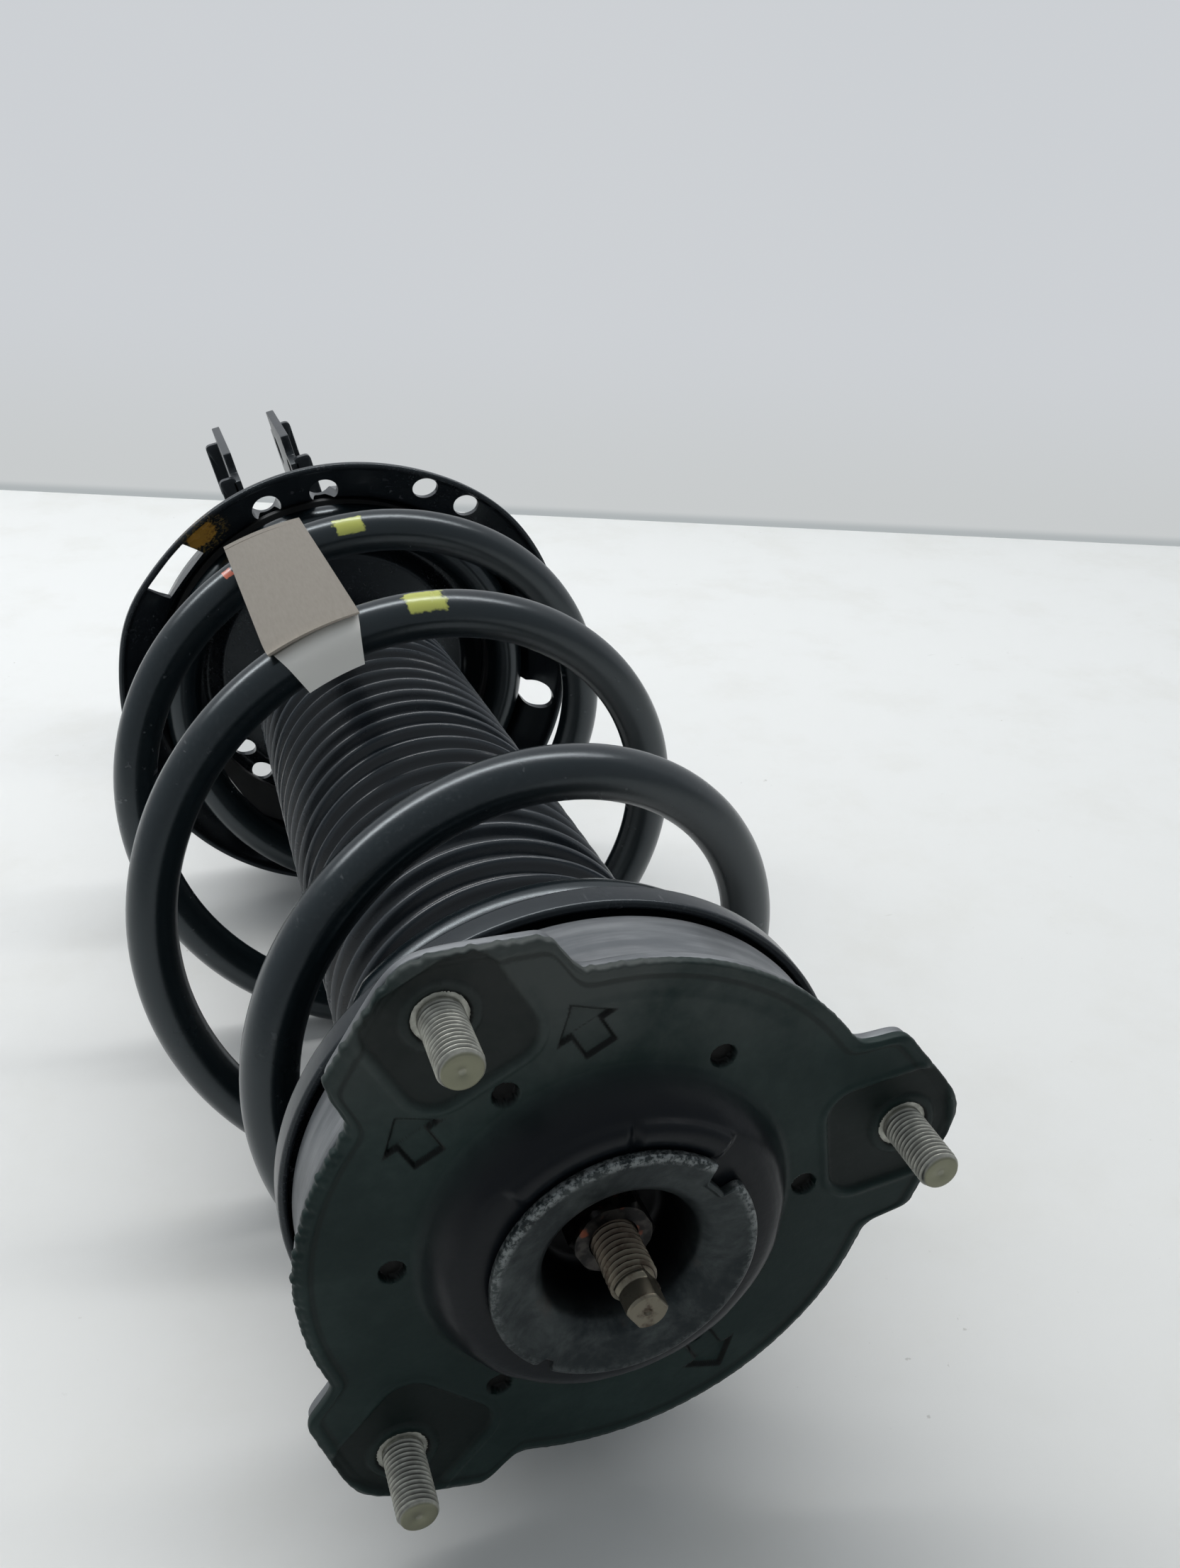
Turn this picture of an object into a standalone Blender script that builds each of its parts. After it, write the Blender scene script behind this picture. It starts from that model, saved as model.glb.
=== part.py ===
"""A suspension strut assembly, lying on its side: top mount, spring, damper and bracket.

Metres, +Z up. The strut's own axis runs along +Y, from the top mount towards the bracket.
Stations along it are measured from the face of the mount's rubber, and angles round it
from straight down, counter-clockwise as seen from the mount.
"""

from math import asin, cos, pi, radians, sin

import bmesh
import bpy
import numpy as np
from mathutils import Matrix, Vector

# ---------------------------------------------------------------- driving dimensions
SEAT_GAP = 0.0003  # between pieces that touch
RUNNING_GAP = 0.0005  # between pieces that slide or turn on each other

# Coil spring
WIRE_DIAMETER = 0.0145
COIL_TOP_RADIUS = 0.0565
COIL_MIDDLE_RADIUS = 0.0855
COIL_END_RADIUS = 0.0680
COIL_BOW_ACROSS, COIL_BOW_UP = -0.0048, 0.0015  # the middle turns stand off the strut's axis
COIL_PITCH = 0.090
DEAD_PITCH = 0.006
COIL_FIRST_TURN = -0.90
COIL_LAST_TURN = 3.65
PITCH_STARTS, PITCH_ENDS, PITCH_RAMP = -0.31, 2.77, 0.50
SWELL_STARTS, SWELL_TURNS = -0.46, 1.20
TAPER_STARTS, TAPER_TURNS = 2.37, 0.60
COIL_START_ANGLE = 231.0
POINTS_PER_TURN = 24
REST_FLAT = 0.0018  # depth of the flats on which the turns lie
FACET_TRIM = 0.0004  # how far the wire's facets fall inside its circle, on average

# Paper tag over two turns of the spring. Rows along the tag: a turn near the row, degrees
# round the wire towards the mount, how far it hangs below that place, then the angle round
# the strut and the lift off the wire at the tag's right and left edges.
LABEL_ROWS = (
    (2.2, -28, 0.0000, (193.3, 210.2), (0.0006, 0.0033)),
    (2.2, -8, 0.0000, (193.3, 210.2), (0.0006, 0.0032)),
    (2.2, 8, 0.0000, (193.3, 210.2), (0.0006, 0.0030)),
    (1.2, -4, 0.0000, (192.4, 209.8), (0.0009, 0.0024)),
    (1.2, 20, 0.0000, (192.4, 209.1), (0.0003, 0.0004)),
    (1.2, 50, 0.0000, (192.7, 208.4), (0.0003, 0.0003)),
    (1.2, 78, 0.0000, (193.2, 207.8), (0.0003, 0.0003)),
    (1.2, 90, 0.0068, (194.1, 206.9), (0.0006, 0.0006)),
)
LABEL_SHEET = 0.0004
LABEL_STEPS = 3

# Top mount
STUD_CIRCLE = 0.0753
STUD_ANGLES = {"stud_left": 210.6, "stud_right": 99.3, "stud_low": 320.4}
STUD_DIAMETER = 0.0100
STUD_LENGTH = 0.0175
COLLAR_DIAMETER = 0.0135
COLLAR_HEIGHT = 0.0020
STUD_HEAD_DIAMETER = 0.0148
STUD_HEAD_HEIGHT = 0.0030
PLATE_RADIUS = 0.0700
LOBE_HALF_WIDTH = 0.0269
LOBE_END_REACH = 0.0796  # from the strut's axis to each of the lobe's two slanted end edges
LOBE_END_SLANT = 30.0
LOBE_ANGLES = (-27.0, -22.3, -19.4, -13.0, -6.5, 0.0, 6.5, 13.0, 19.4, 22.3, 27.0)
RUBBER_SKIN = 0.0024
SHELL_THICKNESS = 0.0026
SKIN_OVERHANG = 0.0012
SHELL_WALL_RADIUS = 0.0675
SHELL_DEPTH = 0.0215
DOME_FOOT_RADIUS = 0.0440
DOME_TOP_RADIUS = 0.0370
DOME_HEIGHT = 0.0090
RUBBER_CROWN_RADIUS = 0.0325
RUBBER_CROWN_HEIGHT = 0.0105
VENT_CIRCLE = 0.0494
VENT_DIAMETER = 0.0064
VENT_COUNT = 6
CORE_RADIUS = 0.0260
CORE_WALL = 0.0028
CORE_BORE_GAP = 0.0003

# Cup washer and nut on the rod
CUP_RADIUS = 0.0312
CUP_HEIGHT = 0.0139
CUP_MOUTH_RADIUS = 0.0180
CUP_THICKNESS = 0.0024
CUP_FLOOR_STATION = 0.0060
CUP_NOTCH_WIDTH = 0.0070
CUP_NOTCH_DEPTH = 0.0030
CUP_NOTCH_ANGLES = (112.0, 352.0)
NUT_ACROSS_FLATS = 0.0180
NUT_HEIGHT = 0.0100

# Piston rod
ROD_DIAMETER = 0.0220
ROD_THREAD_DIAMETER = 0.0112
ROD_TIP_STATION = -0.0262
ROD_TIP_FLATS = 0.0078
ROD_TIP_FLAT_LENGTH = 0.0100
ROD_TIP_TURN = 35.0
PISTON_SPIGOT_DIAMETER = 0.0120

# Bearing and upper seat
BEARING_RADIUS = 0.0330
BEARING_BORE_RADIUS = 0.0225
RACE_HEIGHT = 0.0040
BALL_DIAMETER = 0.0050
BALL_COUNT = 8
CAGE_HEIGHT = 0.0022
SEAT_RIM_RADIUS = 0.0692
SEAT_SHEET = 0.0024
SEAT_HUB_RADIUS = 0.0400
SEAT_BORE_RADIUS = 0.0250
SEAT_STEP = 0.0015
SEAT_RIM_HEIGHT = 0.0053
PAD_THICKNESS = 0.0035
PAD_INSET = 0.0005

# Dust boot and bump stop
BOOT_CLEARANCE = 0.0019  # to the spring's end turn
BOOT_END_RADIUS = 0.0405
BOOT_RIB_DEPTH = 0.0040
BOOT_RIB_PITCH = 0.0104
BOOT_BORE_RADIUS = 0.0335
BOOT_CUFF_LENGTH = 0.0100
BUMP_STOP_RADIUS = 0.0250
BUMP_STOP_LENGTH = 0.0600
BUMP_CUP_RADIUS = 0.0285
BUMP_CUP_DEPTH = 0.0120
BUMP_CUP_SHEET = 0.0016

# Tube and what it holds
TUBE_RADIUS = 0.0255
TUBE_WALL = 0.0020
TUBE_TOP_STATION = 0.2300
TUBE_END_STATION = 0.5050
TUBE_CAP_SHEET = 0.0025
TUBE_CAP_SKIRT = 0.0140
SEAL_HEIGHT = 0.0060
GUIDE_HEIGHT = 0.0180
GUIDE_SPIGOT = 0.0080
INNER_TUBE_RADIUS = 0.0172
INNER_TUBE_WALL = 0.0013
BASE_VALVE_HEIGHT = 0.0100
BASE_CLEARANCE = 0.0060
REBOUND_STOP_LENGTH = 0.0080
PISTON_STATION = 0.2900
PISTON_LENGTH = 0.0180
PISTON_GROOVE = 0.0009
BAND_LENGTH = 0.0100
PISTON_NUT_HEIGHT = 0.0080
PISTON_NUT_FLATS = 0.0190

# Lower seat
DISH_DEPTH = 0.0258  # from the rim to the base that the spring's pad lies on
RIM_TOP_REACH = 0.0970  # from the strut's axis to the rim, straight up
DISH_WALL_MARGIN = 0.0155  # from the spring's end turn to the fluted wall
DISH_BASE_MARGIN = 0.0037  # from the end turn's inner side to the cone
DISH_SHEET = 0.0026
DISH_COLLAR_LENGTH = 0.0260
FLUTE_COUNT = 16
FLUTE_DEPTH = 0.0018
SEAT_HOLES = ((81.0, 0.0806), (147.0, 0.0886), (158.7, 0.0879), (185.4, 0.0808), (201.7, 0.0800))
SEAT_HOLE_DIAMETER = 0.0095
WINDOW_ANGLES = (223.5, 238.5)
WINDOW_RADII = (0.0800, 0.0910)
BASE_HOLES = ((305.8, 0.0540), (320.3, 0.0575))
BASE_HOLE_DIAMETER = 0.0090

# Knuckle bracket
BRACKET_ANGLE = 195.5
BRACKET_START_STATION = 0.4450
BRACKET_LENGTH = 0.0720
BRACKET_REACH = 0.0740
BRACKET_SHEET = 0.0040
EAR_GAP = 0.0240
EAR_HOLE_DIAMETER = 0.0140
EAR_HOLE_MARGIN = 0.0210  # from the ears' ends to the bolt holes
EAR_JOGGLE = 0.0010
EAR_FLANGE, EAR_FLANGE_LENGTH = 0.0060, 0.0310
EAR_HOLE_SPACING = 0.0440
EAR_STEP = 0.0110

# ---------------------------------------------------------------- sizes that follow
WIRE_RADIUS = WIRE_DIAMETER / 2
AXIS_HEIGHT = COIL_MIDDLE_RADIUS - COIL_BOW_UP + WIRE_RADIUS - REST_FLAT
ALONG = Vector((0, 1, 0))
STUD_HOLE_DIAMETER = COLLAR_DIAMETER + 2 * SEAT_GAP
SHELL_STATION = RUBBER_SKIN + SEAT_GAP
BEARING_STATION = SHELL_STATION + SHELL_DEPTH - 2 * RACE_HEIGHT
BUSH_DEPTH = BEARING_STATION - CORE_WALL - 2 * SEAT_GAP
UPPER_HUB_STATION = BEARING_STATION + 2 * RACE_HEIGHT + BALL_DIAMETER
WEB_STATION = UPPER_HUB_STATION + SEAT_STEP
UPPER_PAD_STATION = WEB_STATION + SEAT_SHEET + SEAT_GAP
COIL_FIRST_STATION = UPPER_PAD_STATION + PAD_THICKNESS + SEAT_GAP + WIRE_RADIUS
BOOT_TOP_STATION = WEB_STATION + SEAT_SHEET + SEAT_GAP
BOOT_TOP_RADIUS = COIL_TOP_RADIUS - WIRE_RADIUS - BOOT_CLEARANCE
DISH_WALL_RADIUS = COIL_END_RADIUS + DISH_WALL_MARGIN
DISH_BASE_INNER_RADIUS = COIL_END_RADIUS - WIRE_RADIUS - DISH_BASE_MARGIN
RIM_RADIUS = (RIM_TOP_REACH + AXIS_HEIGHT) / 2
RIM_RISE = (RIM_TOP_REACH - AXIS_HEIGHT) / 2
AXIS_ACROSS = (COIL_MIDDLE_RADIUS + WIRE_RADIUS - FACET_TRIM - COIL_BOW_ACROSS - RIM_RADIUS) / 2
TUBE_BORE = TUBE_RADIUS - TUBE_WALL
ROD_RADIUS = ROD_DIAMETER / 2
CORE_FLOOR_STATION = CUP_FLOOR_STATION + CUP_THICKNESS + SEAT_GAP
ROD_SHOULDER_STATION = CORE_FLOOR_STATION + CORE_WALL + SEAT_GAP
BUMP_CUP_STATION = UPPER_HUB_STATION + 0.0188
SEAL_STATION = TUBE_TOP_STATION + 0.0010
GUIDE_STATION = SEAL_STATION + SEAL_HEIGHT + SEAT_GAP
GUIDE_END_STATION = GUIDE_STATION + GUIDE_HEIGHT
INNER_TUBE_STATION = GUIDE_END_STATION - GUIDE_SPIGOT + SEAT_GAP
BASE_VALVE_STATION = TUBE_END_STATION - BASE_CLEARANCE - SEAT_GAP - BASE_VALVE_HEIGHT
INNER_TUBE_END = BASE_VALVE_STATION + BASE_VALVE_HEIGHT / 2 - SEAT_GAP
COLLAR_RADIUS = TUBE_RADIUS + SEAT_GAP + DISH_SHEET


def smooth_step(x):
    x = np.clip(x, 0.0, 1.0)
    return x * x * (3 - 2 * x)


def smooth_ramp(x):
    """The area under smooth_step from 0 to x."""
    inside = np.clip(x, 0.0, 1.0)
    return inside**3 - inside**4 / 2 + np.maximum(x - 1.0, 0.0)


def coil_station(turn):
    rise = (COIL_PITCH - DEAD_PITCH) * PITCH_RAMP
    started = smooth_ramp((turn - PITCH_STARTS) / PITCH_RAMP)
    ended = smooth_ramp((turn - PITCH_ENDS) / PITCH_RAMP)
    return COIL_FIRST_STATION + DEAD_PITCH * (turn - COIL_FIRST_TURN) + rise * (started - ended)


def coil_swell(turn):
    return smooth_step((turn - SWELL_STARTS) / SWELL_TURNS)


def coil_taper(turn):
    return smooth_step((turn - TAPER_STARTS) / TAPER_TURNS)


def coil_radius(turn):
    swell = (COIL_MIDDLE_RADIUS - COIL_TOP_RADIUS) * coil_swell(turn)
    taper = (COIL_MIDDLE_RADIUS - COIL_END_RADIUS) * coil_taper(turn)
    return COIL_TOP_RADIUS + swell - taper


COIL_LAST_STATION = float(coil_station(np.float64(COIL_LAST_TURN)))
LOWER_PAD_STATION = COIL_LAST_STATION + WIRE_RADIUS + SEAT_GAP
DISH_STATION = LOWER_PAD_STATION + PAD_THICKNESS + SEAT_GAP
RIM_STATION = DISH_STATION - DISH_DEPTH
COLLAR_STATION = DISH_STATION - DISH_COLLAR_LENGTH
BOOT_END_STATION = COLLAR_STATION + BOOT_CUFF_LENGTH
PART_END_STATION = BRACKET_START_STATION + BRACKET_LENGTH
MIDDLE_STATION = (ROD_TIP_STATION + PART_END_STATION) / 2


# ---------------------------------------------------------------- helpers
def clear_scene():
    for leftover in list(bpy.data.objects):
        bpy.data.objects.remove(leftover, do_unlink=True)


def finish(name, rgb, roughness, metallic=0.0):
    material = bpy.data.materials.new(name)
    material.use_nodes = True
    shader = material.node_tree.nodes["Principled BSDF"]
    shader.inputs["Base Color"].default_value = (*rgb, 1.0)
    shader.inputs["Roughness"].default_value = roughness
    shader.inputs["Metallic"].default_value = metallic
    return material


def joint_empty(name, parent=None):
    """An empty on the strut's axis, at the mount's face, which carries one moving group."""
    empty = bpy.data.objects.new(name, None)
    bpy.context.collection.objects.link(empty)
    if parent is None:
        empty.location = (AXIS_ACROSS, -MIDDLE_STATION, AXIS_HEIGHT)
    else:
        empty.parent = parent
    return empty


def add_object(name, mesh, material, parent):
    node = bpy.data.objects.new(name, mesh)
    bpy.context.collection.objects.link(node)
    node.parent = parent
    if material is not None:
        mesh.materials.append(material)
    mesh.shade_smooth()
    mesh.set_sharp_from_angle(angle=radians(32))
    return node


def mesh_of(name, built):
    bmesh.ops.remove_doubles(built, verts=built.verts, dist=1e-7)
    bmesh.ops.recalc_face_normals(built, faces=built.faces)
    mesh = bpy.data.meshes.new(name)
    built.to_mesh(mesh)
    built.free()
    return mesh


def turned(name, profile, material, parent, steps=24):
    """Spins (radius, station) points round the axis. A profile that starts and ends
    at radius 0 is an open chain; any other is a closed loop, which makes a ring."""
    built = bmesh.new()
    points = [built.verts.new((radius, station, 0.0)) for radius, station in profile]
    edges = [built.edges.new(pair) for pair in zip(points, points[1:])]
    if profile[0][0] > 0:
        edges.append(built.edges.new((points[-1], points[0])))
    bmesh.ops.spin(
        built, geom=points + edges, axis=ALONG, cent=(0, 0, 0), angle=2 * pi, steps=steps, use_merge=True
    )
    return add_object(name, mesh_of(name, built), material, parent)


def at_angle(radius, angle, station):
    """A point in the strut's own frame, from its angle in radians from straight down."""
    return Vector((radius * sin(angle), station, -radius * cos(angle)))


def even_angles(steps):
    return [2 * pi * step / steps for step in range(steps)]


def plate_angles():
    """Angles that fall on the lobes' corners, and evenly between the lobes."""
    studs = sorted(STUD_ANGLES.values())
    found = []
    for stud, following in zip(studs, studs[1:] + [studs[0] + 360]):
        found += [stud + offset for offset in LOBE_ANGLES]
        start, end = stud + LOBE_ANGLES[-1], following + LOBE_ANGLES[0]
        pieces = round((end - start) / 6.2) + 1
        found += [start + (end - start) * piece / pieces for piece in range(1, pieces)]
    return [radians(angle) for angle in found]


def swept_ring(name, profile, material, parent, angles):
    """A ring whose closed profile gives radius and station as functions of the angle."""
    built = bmesh.new()
    rows = []
    for angle in angles:
        places = [at_angle(radius(angle), angle, station(angle)) for radius, station in profile]
        rows.append([built.verts.new(place) for place in places])
    for row, following in zip(rows, rows[1:] + rows[:1]):
        for one in range(len(profile)):
            other = (one + 1) % len(profile)
            built.faces.new((row[one], row[other], following[other], following[one]))
    bmesh.ops.triangulate(built, faces=built.faces)
    return add_object(name, mesh_of(name, built), material, parent)


def constant(value):
    return lambda angle: value


def extruded(name, outline, start, length, material, parent, turn=0.0):
    """An outline of (across, up) points, extruded along the axis and turned round it."""
    built = bmesh.new()
    corners = [built.verts.new((across, start, up)) for across, up in outline]
    face = built.faces.new(corners)
    moved = bmesh.ops.extrude_face_region(built, geom=[face])
    bmesh.ops.translate(
        built, vec=(0, length, 0), verts=[v for v in moved["geom"] if isinstance(v, bmesh.types.BMVert)]
    )
    bmesh.ops.rotate(built, cent=(0, 0, 0), matrix=turn_about_axis(turn), verts=built.verts)
    return add_object(name, mesh_of(name, built), material, parent)


def turn_about_axis(angle):
    """Turns counter-clockwise as seen from the mount."""
    return Matrix.Rotation(-angle, 3, "Y")


def add_cylinder(cutter, centre, direction, diameter, length, sides=16):
    """Adds a cylinder, centred, along a direction."""
    radius = diameter / 2
    made = bmesh.ops.create_cone(
        cutter, cap_ends=True, segments=sides, radius1=radius, radius2=radius, depth=length
    )
    turn = Vector((0, 0, 1)).rotation_difference(direction).to_matrix()
    bmesh.ops.rotate(cutter, cent=(0, 0, 0), matrix=turn, verts=made["verts"])
    bmesh.ops.translate(cutter, vec=centre, verts=made["verts"])


def add_block(cutter, centre, size, turn):
    """Adds a block, then turns it round the strut's axis."""
    made = bmesh.ops.create_cube(cutter, size=1.0)
    bmesh.ops.scale(cutter, vec=size, verts=made["verts"])
    bmesh.ops.translate(cutter, vec=centre, verts=made["verts"])
    bmesh.ops.rotate(cutter, cent=(0, 0, 0), matrix=turn_about_axis(turn), verts=made["verts"])


def add_stud_holes(cutter):
    for angle in STUD_ANGLES.values():
        centre = at_angle(STUD_CIRCLE, radians(angle), 0.0)
        add_cylinder(cutter, centre, ALONG, STUD_HOLE_DIAMETER, 0.03, sides=12)


def combine(node, built, operation="DIFFERENCE"):
    """Cuts the built shapes from a node, or joins them to it, through one hidden helper."""
    helper = add_object(f"{operation.lower()}_{node.name}", mesh_of(node.name, built), None, node.parent)
    helper.hide_render = True
    helper.display_type = "WIRE"
    modifier = node.modifiers.new(operation.lower(), "BOOLEAN")
    modifier.operation = operation
    modifier.solver = "EXACT"
    modifier.object = helper


def hexagon(across_flats):
    corner = across_flats / 2 / cos(pi / 6)
    return [(corner * cos(pi / 3 * k), corner * sin(pi / 3 * k)) for k in range(6)]


def plate_radius(angle, grow=0.0):
    """The plate's outline: a circle joined with three lobes. A lobe has two parallel sides
    and an end of two slanted edges. High power means round every corner."""
    reaches = [PLATE_RADIUS + grow]
    for stud in STUD_ANGLES.values():
        turn = angle - radians(stud)
        if cos(turn) > 0.2:
            side = abs(sin(turn)) / (LOBE_HALF_WIDTH + grow)
            slants = [max(cos(turn + way * radians(LOBE_END_SLANT)), 0.1) for way in (-1, 1)]
            end = sum(slant**26 for slant in slants) ** (1 / 26) / (LOBE_END_REACH + grow)
            reaches.append((side**40 + end**40) ** (-1 / 40))
    return sum(reach**26 for reach in reaches) ** (1 / 26)


# ---------------------------------------------------------------- top mount
def mount_rubber(material, parent):
    edge = lambda angle: plate_radius(angle, SKIN_OVERHANG)
    bush_radius = DOME_TOP_RADIUS - SHELL_THICKNESS - SEAT_GAP
    core_outside = CORE_RADIUS + SEAT_GAP
    profile = [
        (edge, constant(RUBBER_SKIN)),
        (constant(DOME_FOOT_RADIUS + 0.0020), constant(RUBBER_SKIN)),
        (constant(DOME_TOP_RADIUS + SEAT_GAP), constant(RUBBER_SKIN - DOME_HEIGHT)),
        (constant(bush_radius), constant(RUBBER_SKIN - DOME_HEIGHT)),
        (constant(bush_radius), constant(BUSH_DEPTH)),
        (constant(core_outside), constant(BUSH_DEPTH)),
        (constant(core_outside), constant(-RUBBER_CROWN_HEIGHT)),
        (constant(RUBBER_CROWN_RADIUS), constant(-RUBBER_CROWN_HEIGHT)),
        (constant(DOME_TOP_RADIUS), constant(-DOME_HEIGHT)),
        (constant(DOME_TOP_RADIUS + 0.0035), constant(-DOME_HEIGHT + 0.0020)),
        (constant(DOME_FOOT_RADIUS + 0.0010), constant(0.0)),
        (lambda angle: edge(angle) - 0.0010, constant(0.0)),
    ]
    rubber = swept_ring("mount_rubber", profile, material, parent, plate_angles())
    cutter = bmesh.new()
    add_stud_holes(cutter)
    for k in range(VENT_COUNT):
        centre = at_angle(VENT_CIRCLE, 2 * pi * (k + 0.5) / VENT_COUNT, 0.0)
        add_cylinder(cutter, centre, ALONG, VENT_DIAMETER, 0.012, sides=8)
    combine(rubber, cutter)
    return rubber


def mount_shell(material, parent):
    """A pressed steel plate: lobed flange, a wall turned down behind it and a centre dome."""
    front = SHELL_STATION
    back = front + SHELL_THICKNESS
    wall = SHELL_WALL_RADIUS
    dome_inside = DOME_TOP_RADIUS - SHELL_THICKNESS
    profile = [
        (plate_radius, constant(front)),
        (plate_radius, constant(back)),
        (constant(wall), constant(back)),
        (constant(wall), constant(front + SHELL_DEPTH)),
        (constant(wall - SHELL_THICKNESS), constant(front + SHELL_DEPTH)),
        (constant(wall - SHELL_THICKNESS), constant(back)),
        (constant(DOME_FOOT_RADIUS - 0.0005), constant(back)),
        (constant(DOME_TOP_RADIUS), constant(back - DOME_HEIGHT + 0.0030)),
        (constant(DOME_TOP_RADIUS), constant(BUSH_DEPTH)),
        (constant(dome_inside), constant(BUSH_DEPTH)),
        (constant(dome_inside), constant(front - DOME_HEIGHT)),
        (constant(DOME_TOP_RADIUS), constant(front - DOME_HEIGHT)),
        (constant(DOME_FOOT_RADIUS + 0.0020), constant(front)),
    ]
    shell = swept_ring("mount_shell", profile, material, parent, plate_angles())
    cutter = bmesh.new()
    add_stud_holes(cutter)
    combine(shell, cutter)
    return shell


def mounting_stud(name, angle, material, parent):
    """A threaded stud with a knurled collar through the plate and a head behind it."""
    head_station = SHELL_STATION + SHELL_THICKNESS + SEAT_GAP
    thread = STUD_DIAMETER / 2
    profile = [
        (0.0, -STUD_LENGTH),
        (thread - 0.0010, -STUD_LENGTH),
        (thread, -STUD_LENGTH + 0.0012),
        (thread, -COLLAR_HEIGHT),
        (COLLAR_DIAMETER / 2, -COLLAR_HEIGHT),
        (COLLAR_DIAMETER / 2, head_station),
        (STUD_HEAD_DIAMETER / 2, head_station),
        (STUD_HEAD_DIAMETER / 2, head_station + STUD_HEAD_HEIGHT),
        (0.0, head_station + STUD_HEAD_HEIGHT),
    ]
    stud = turned(name, profile, material, parent, steps=16)
    stud.location = at_angle(STUD_CIRCLE, radians(angle), 0.0)
    return stud


def mount_core(material, parent):
    """The cup bonded inside the rubber: its floor is clamped on the rod's shoulder,
    and its flange behind presses on the bearing's upper race."""
    floor = CORE_FLOOR_STATION
    bore = ROD_THREAD_DIAMETER / 2 + CORE_BORE_GAP
    flange = BEARING_STATION - SEAT_GAP
    profile = [
        (bore, floor),
        (CORE_RADIUS, floor),
        (CORE_RADIUS, flange - CORE_WALL),
        (BEARING_RADIUS, flange - CORE_WALL),
        (BEARING_RADIUS, flange),
        (CORE_RADIUS - CORE_WALL, flange),
        (CORE_RADIUS - CORE_WALL, floor + CORE_WALL),
        (bore, floor + CORE_WALL),
    ]
    return turned("mount_core", profile, material, parent)


def cup_washer(material, parent):
    """A dished washer with a deep centre, whose rim lies over the rubber's crown."""
    floor = CUP_FLOOR_STATION
    sheet = CUP_THICKNESS
    bore = ROD_THREAD_DIAMETER / 2 + CORE_BORE_GAP
    crown = -RUBBER_CROWN_HEIGHT - SEAT_GAP
    inner_wall = CUP_MOUTH_RADIUS - 0.0020
    profile = [
        (bore, floor),
        (inner_wall - 0.0015, floor),
        (inner_wall, floor - 0.0015),
        (CUP_MOUTH_RADIUS, -CUP_HEIGHT + 0.0022),
        (CUP_MOUTH_RADIUS + 0.0022, -CUP_HEIGHT + 0.0006),
        (CUP_RADIUS - 0.0030, -CUP_HEIGHT),
        (CUP_RADIUS, -CUP_HEIGHT + 0.0008),
        (CUP_RADIUS, crown),
        (CUP_MOUTH_RADIUS + 0.0040, crown),
        (CUP_MOUTH_RADIUS + sheet, crown + 0.0020),
        (inner_wall + sheet, floor + sheet - 0.0012),
        (inner_wall + sheet - 0.0012, floor + sheet),
        (bore, floor + sheet),
    ]
    washer = turned("cup_washer", profile, material, parent, steps=32)
    cutter = bmesh.new()
    for angle in CUP_NOTCH_ANGLES:
        centre = Vector((0, -CUP_HEIGHT, -CUP_RADIUS))
        add_block(cutter, centre, (CUP_NOTCH_WIDTH, 0.010, 2 * CUP_NOTCH_DEPTH), radians(angle))
    combine(washer, cutter)
    return washer


def rod_nut(material, parent):
    seat = CUP_FLOOR_STATION - SEAT_GAP
    nut = extruded("rod_nut", hexagon(NUT_ACROSS_FLATS), seat - NUT_HEIGHT, NUT_HEIGHT, material, parent)
    cutter = bmesh.new()
    add_cylinder(cutter, Vector((0, seat, 0)), ALONG, ROD_THREAD_DIAMETER + 2 * SEAT_GAP, 0.05, sides=24)
    combine(nut, cutter)
    return nut


def piston_rod(material, parent):
    thread = ROD_THREAD_DIAMETER / 2
    spigot = PISTON_SPIGOT_DIAMETER / 2
    spigot_end = PISTON_STATION + PISTON_LENGTH + PISTON_NUT_HEIGHT + 0.0040
    profile = [
        (0.0, ROD_TIP_STATION),
        (thread - 0.0008, ROD_TIP_STATION),
        (thread, ROD_TIP_STATION + 0.0010),
        (thread, ROD_SHOULDER_STATION),
        (ROD_RADIUS, ROD_SHOULDER_STATION),
        (ROD_RADIUS, PISTON_STATION - SEAT_GAP),
        (spigot, PISTON_STATION - SEAT_GAP),
        (spigot, spigot_end - 0.0010),
        (spigot - 0.0010, spigot_end),
        (0.0, spigot_end),
    ]
    rod = turned("piston_rod", profile, material, parent)
    cutter = bmesh.new()
    for side in (-1, 1):
        centre = Vector((side * (ROD_TIP_FLATS / 2 + 0.005), ROD_TIP_STATION, 0))
        add_block(cutter, centre, (0.010, 2 * ROD_TIP_FLAT_LENGTH, 0.030), radians(ROD_TIP_TURN))
    combine(rod, cutter)
    return rod


def rebound_stop(material, parent):
    start = GUIDE_END_STATION + RUNNING_GAP
    bore = ROD_RADIUS + SEAT_GAP
    outside = INNER_TUBE_RADIUS - INNER_TUBE_WALL - 0.0008
    profile = [
        (bore, start),
        (outside - 0.001, start),
        (outside, start + 0.001),
        (outside, start + REBOUND_STOP_LENGTH),
        (bore, start + REBOUND_STOP_LENGTH),
    ]
    return turned("rebound_stop", profile, material, parent, steps=24)


def piston(material, parent):
    inner = INNER_TUBE_RADIUS - INNER_TUBE_WALL
    outside = inner - RUNNING_GAP
    groove = outside - PISTON_GROOVE
    bore = PISTON_SPIGOT_DIAMETER / 2 + SEAT_GAP
    start, end = PISTON_STATION, PISTON_STATION + PISTON_LENGTH
    land = (PISTON_LENGTH - BAND_LENGTH) / 2 - SEAT_GAP
    profile = [
        (bore, start),
        (outside, start),
        (outside, start + land),
        (groove, start + land),
        (groove, end - land),
        (outside, end - land),
        (outside, end),
        (bore, end),
    ]
    return turned("piston", profile, material, parent, steps=24)


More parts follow.
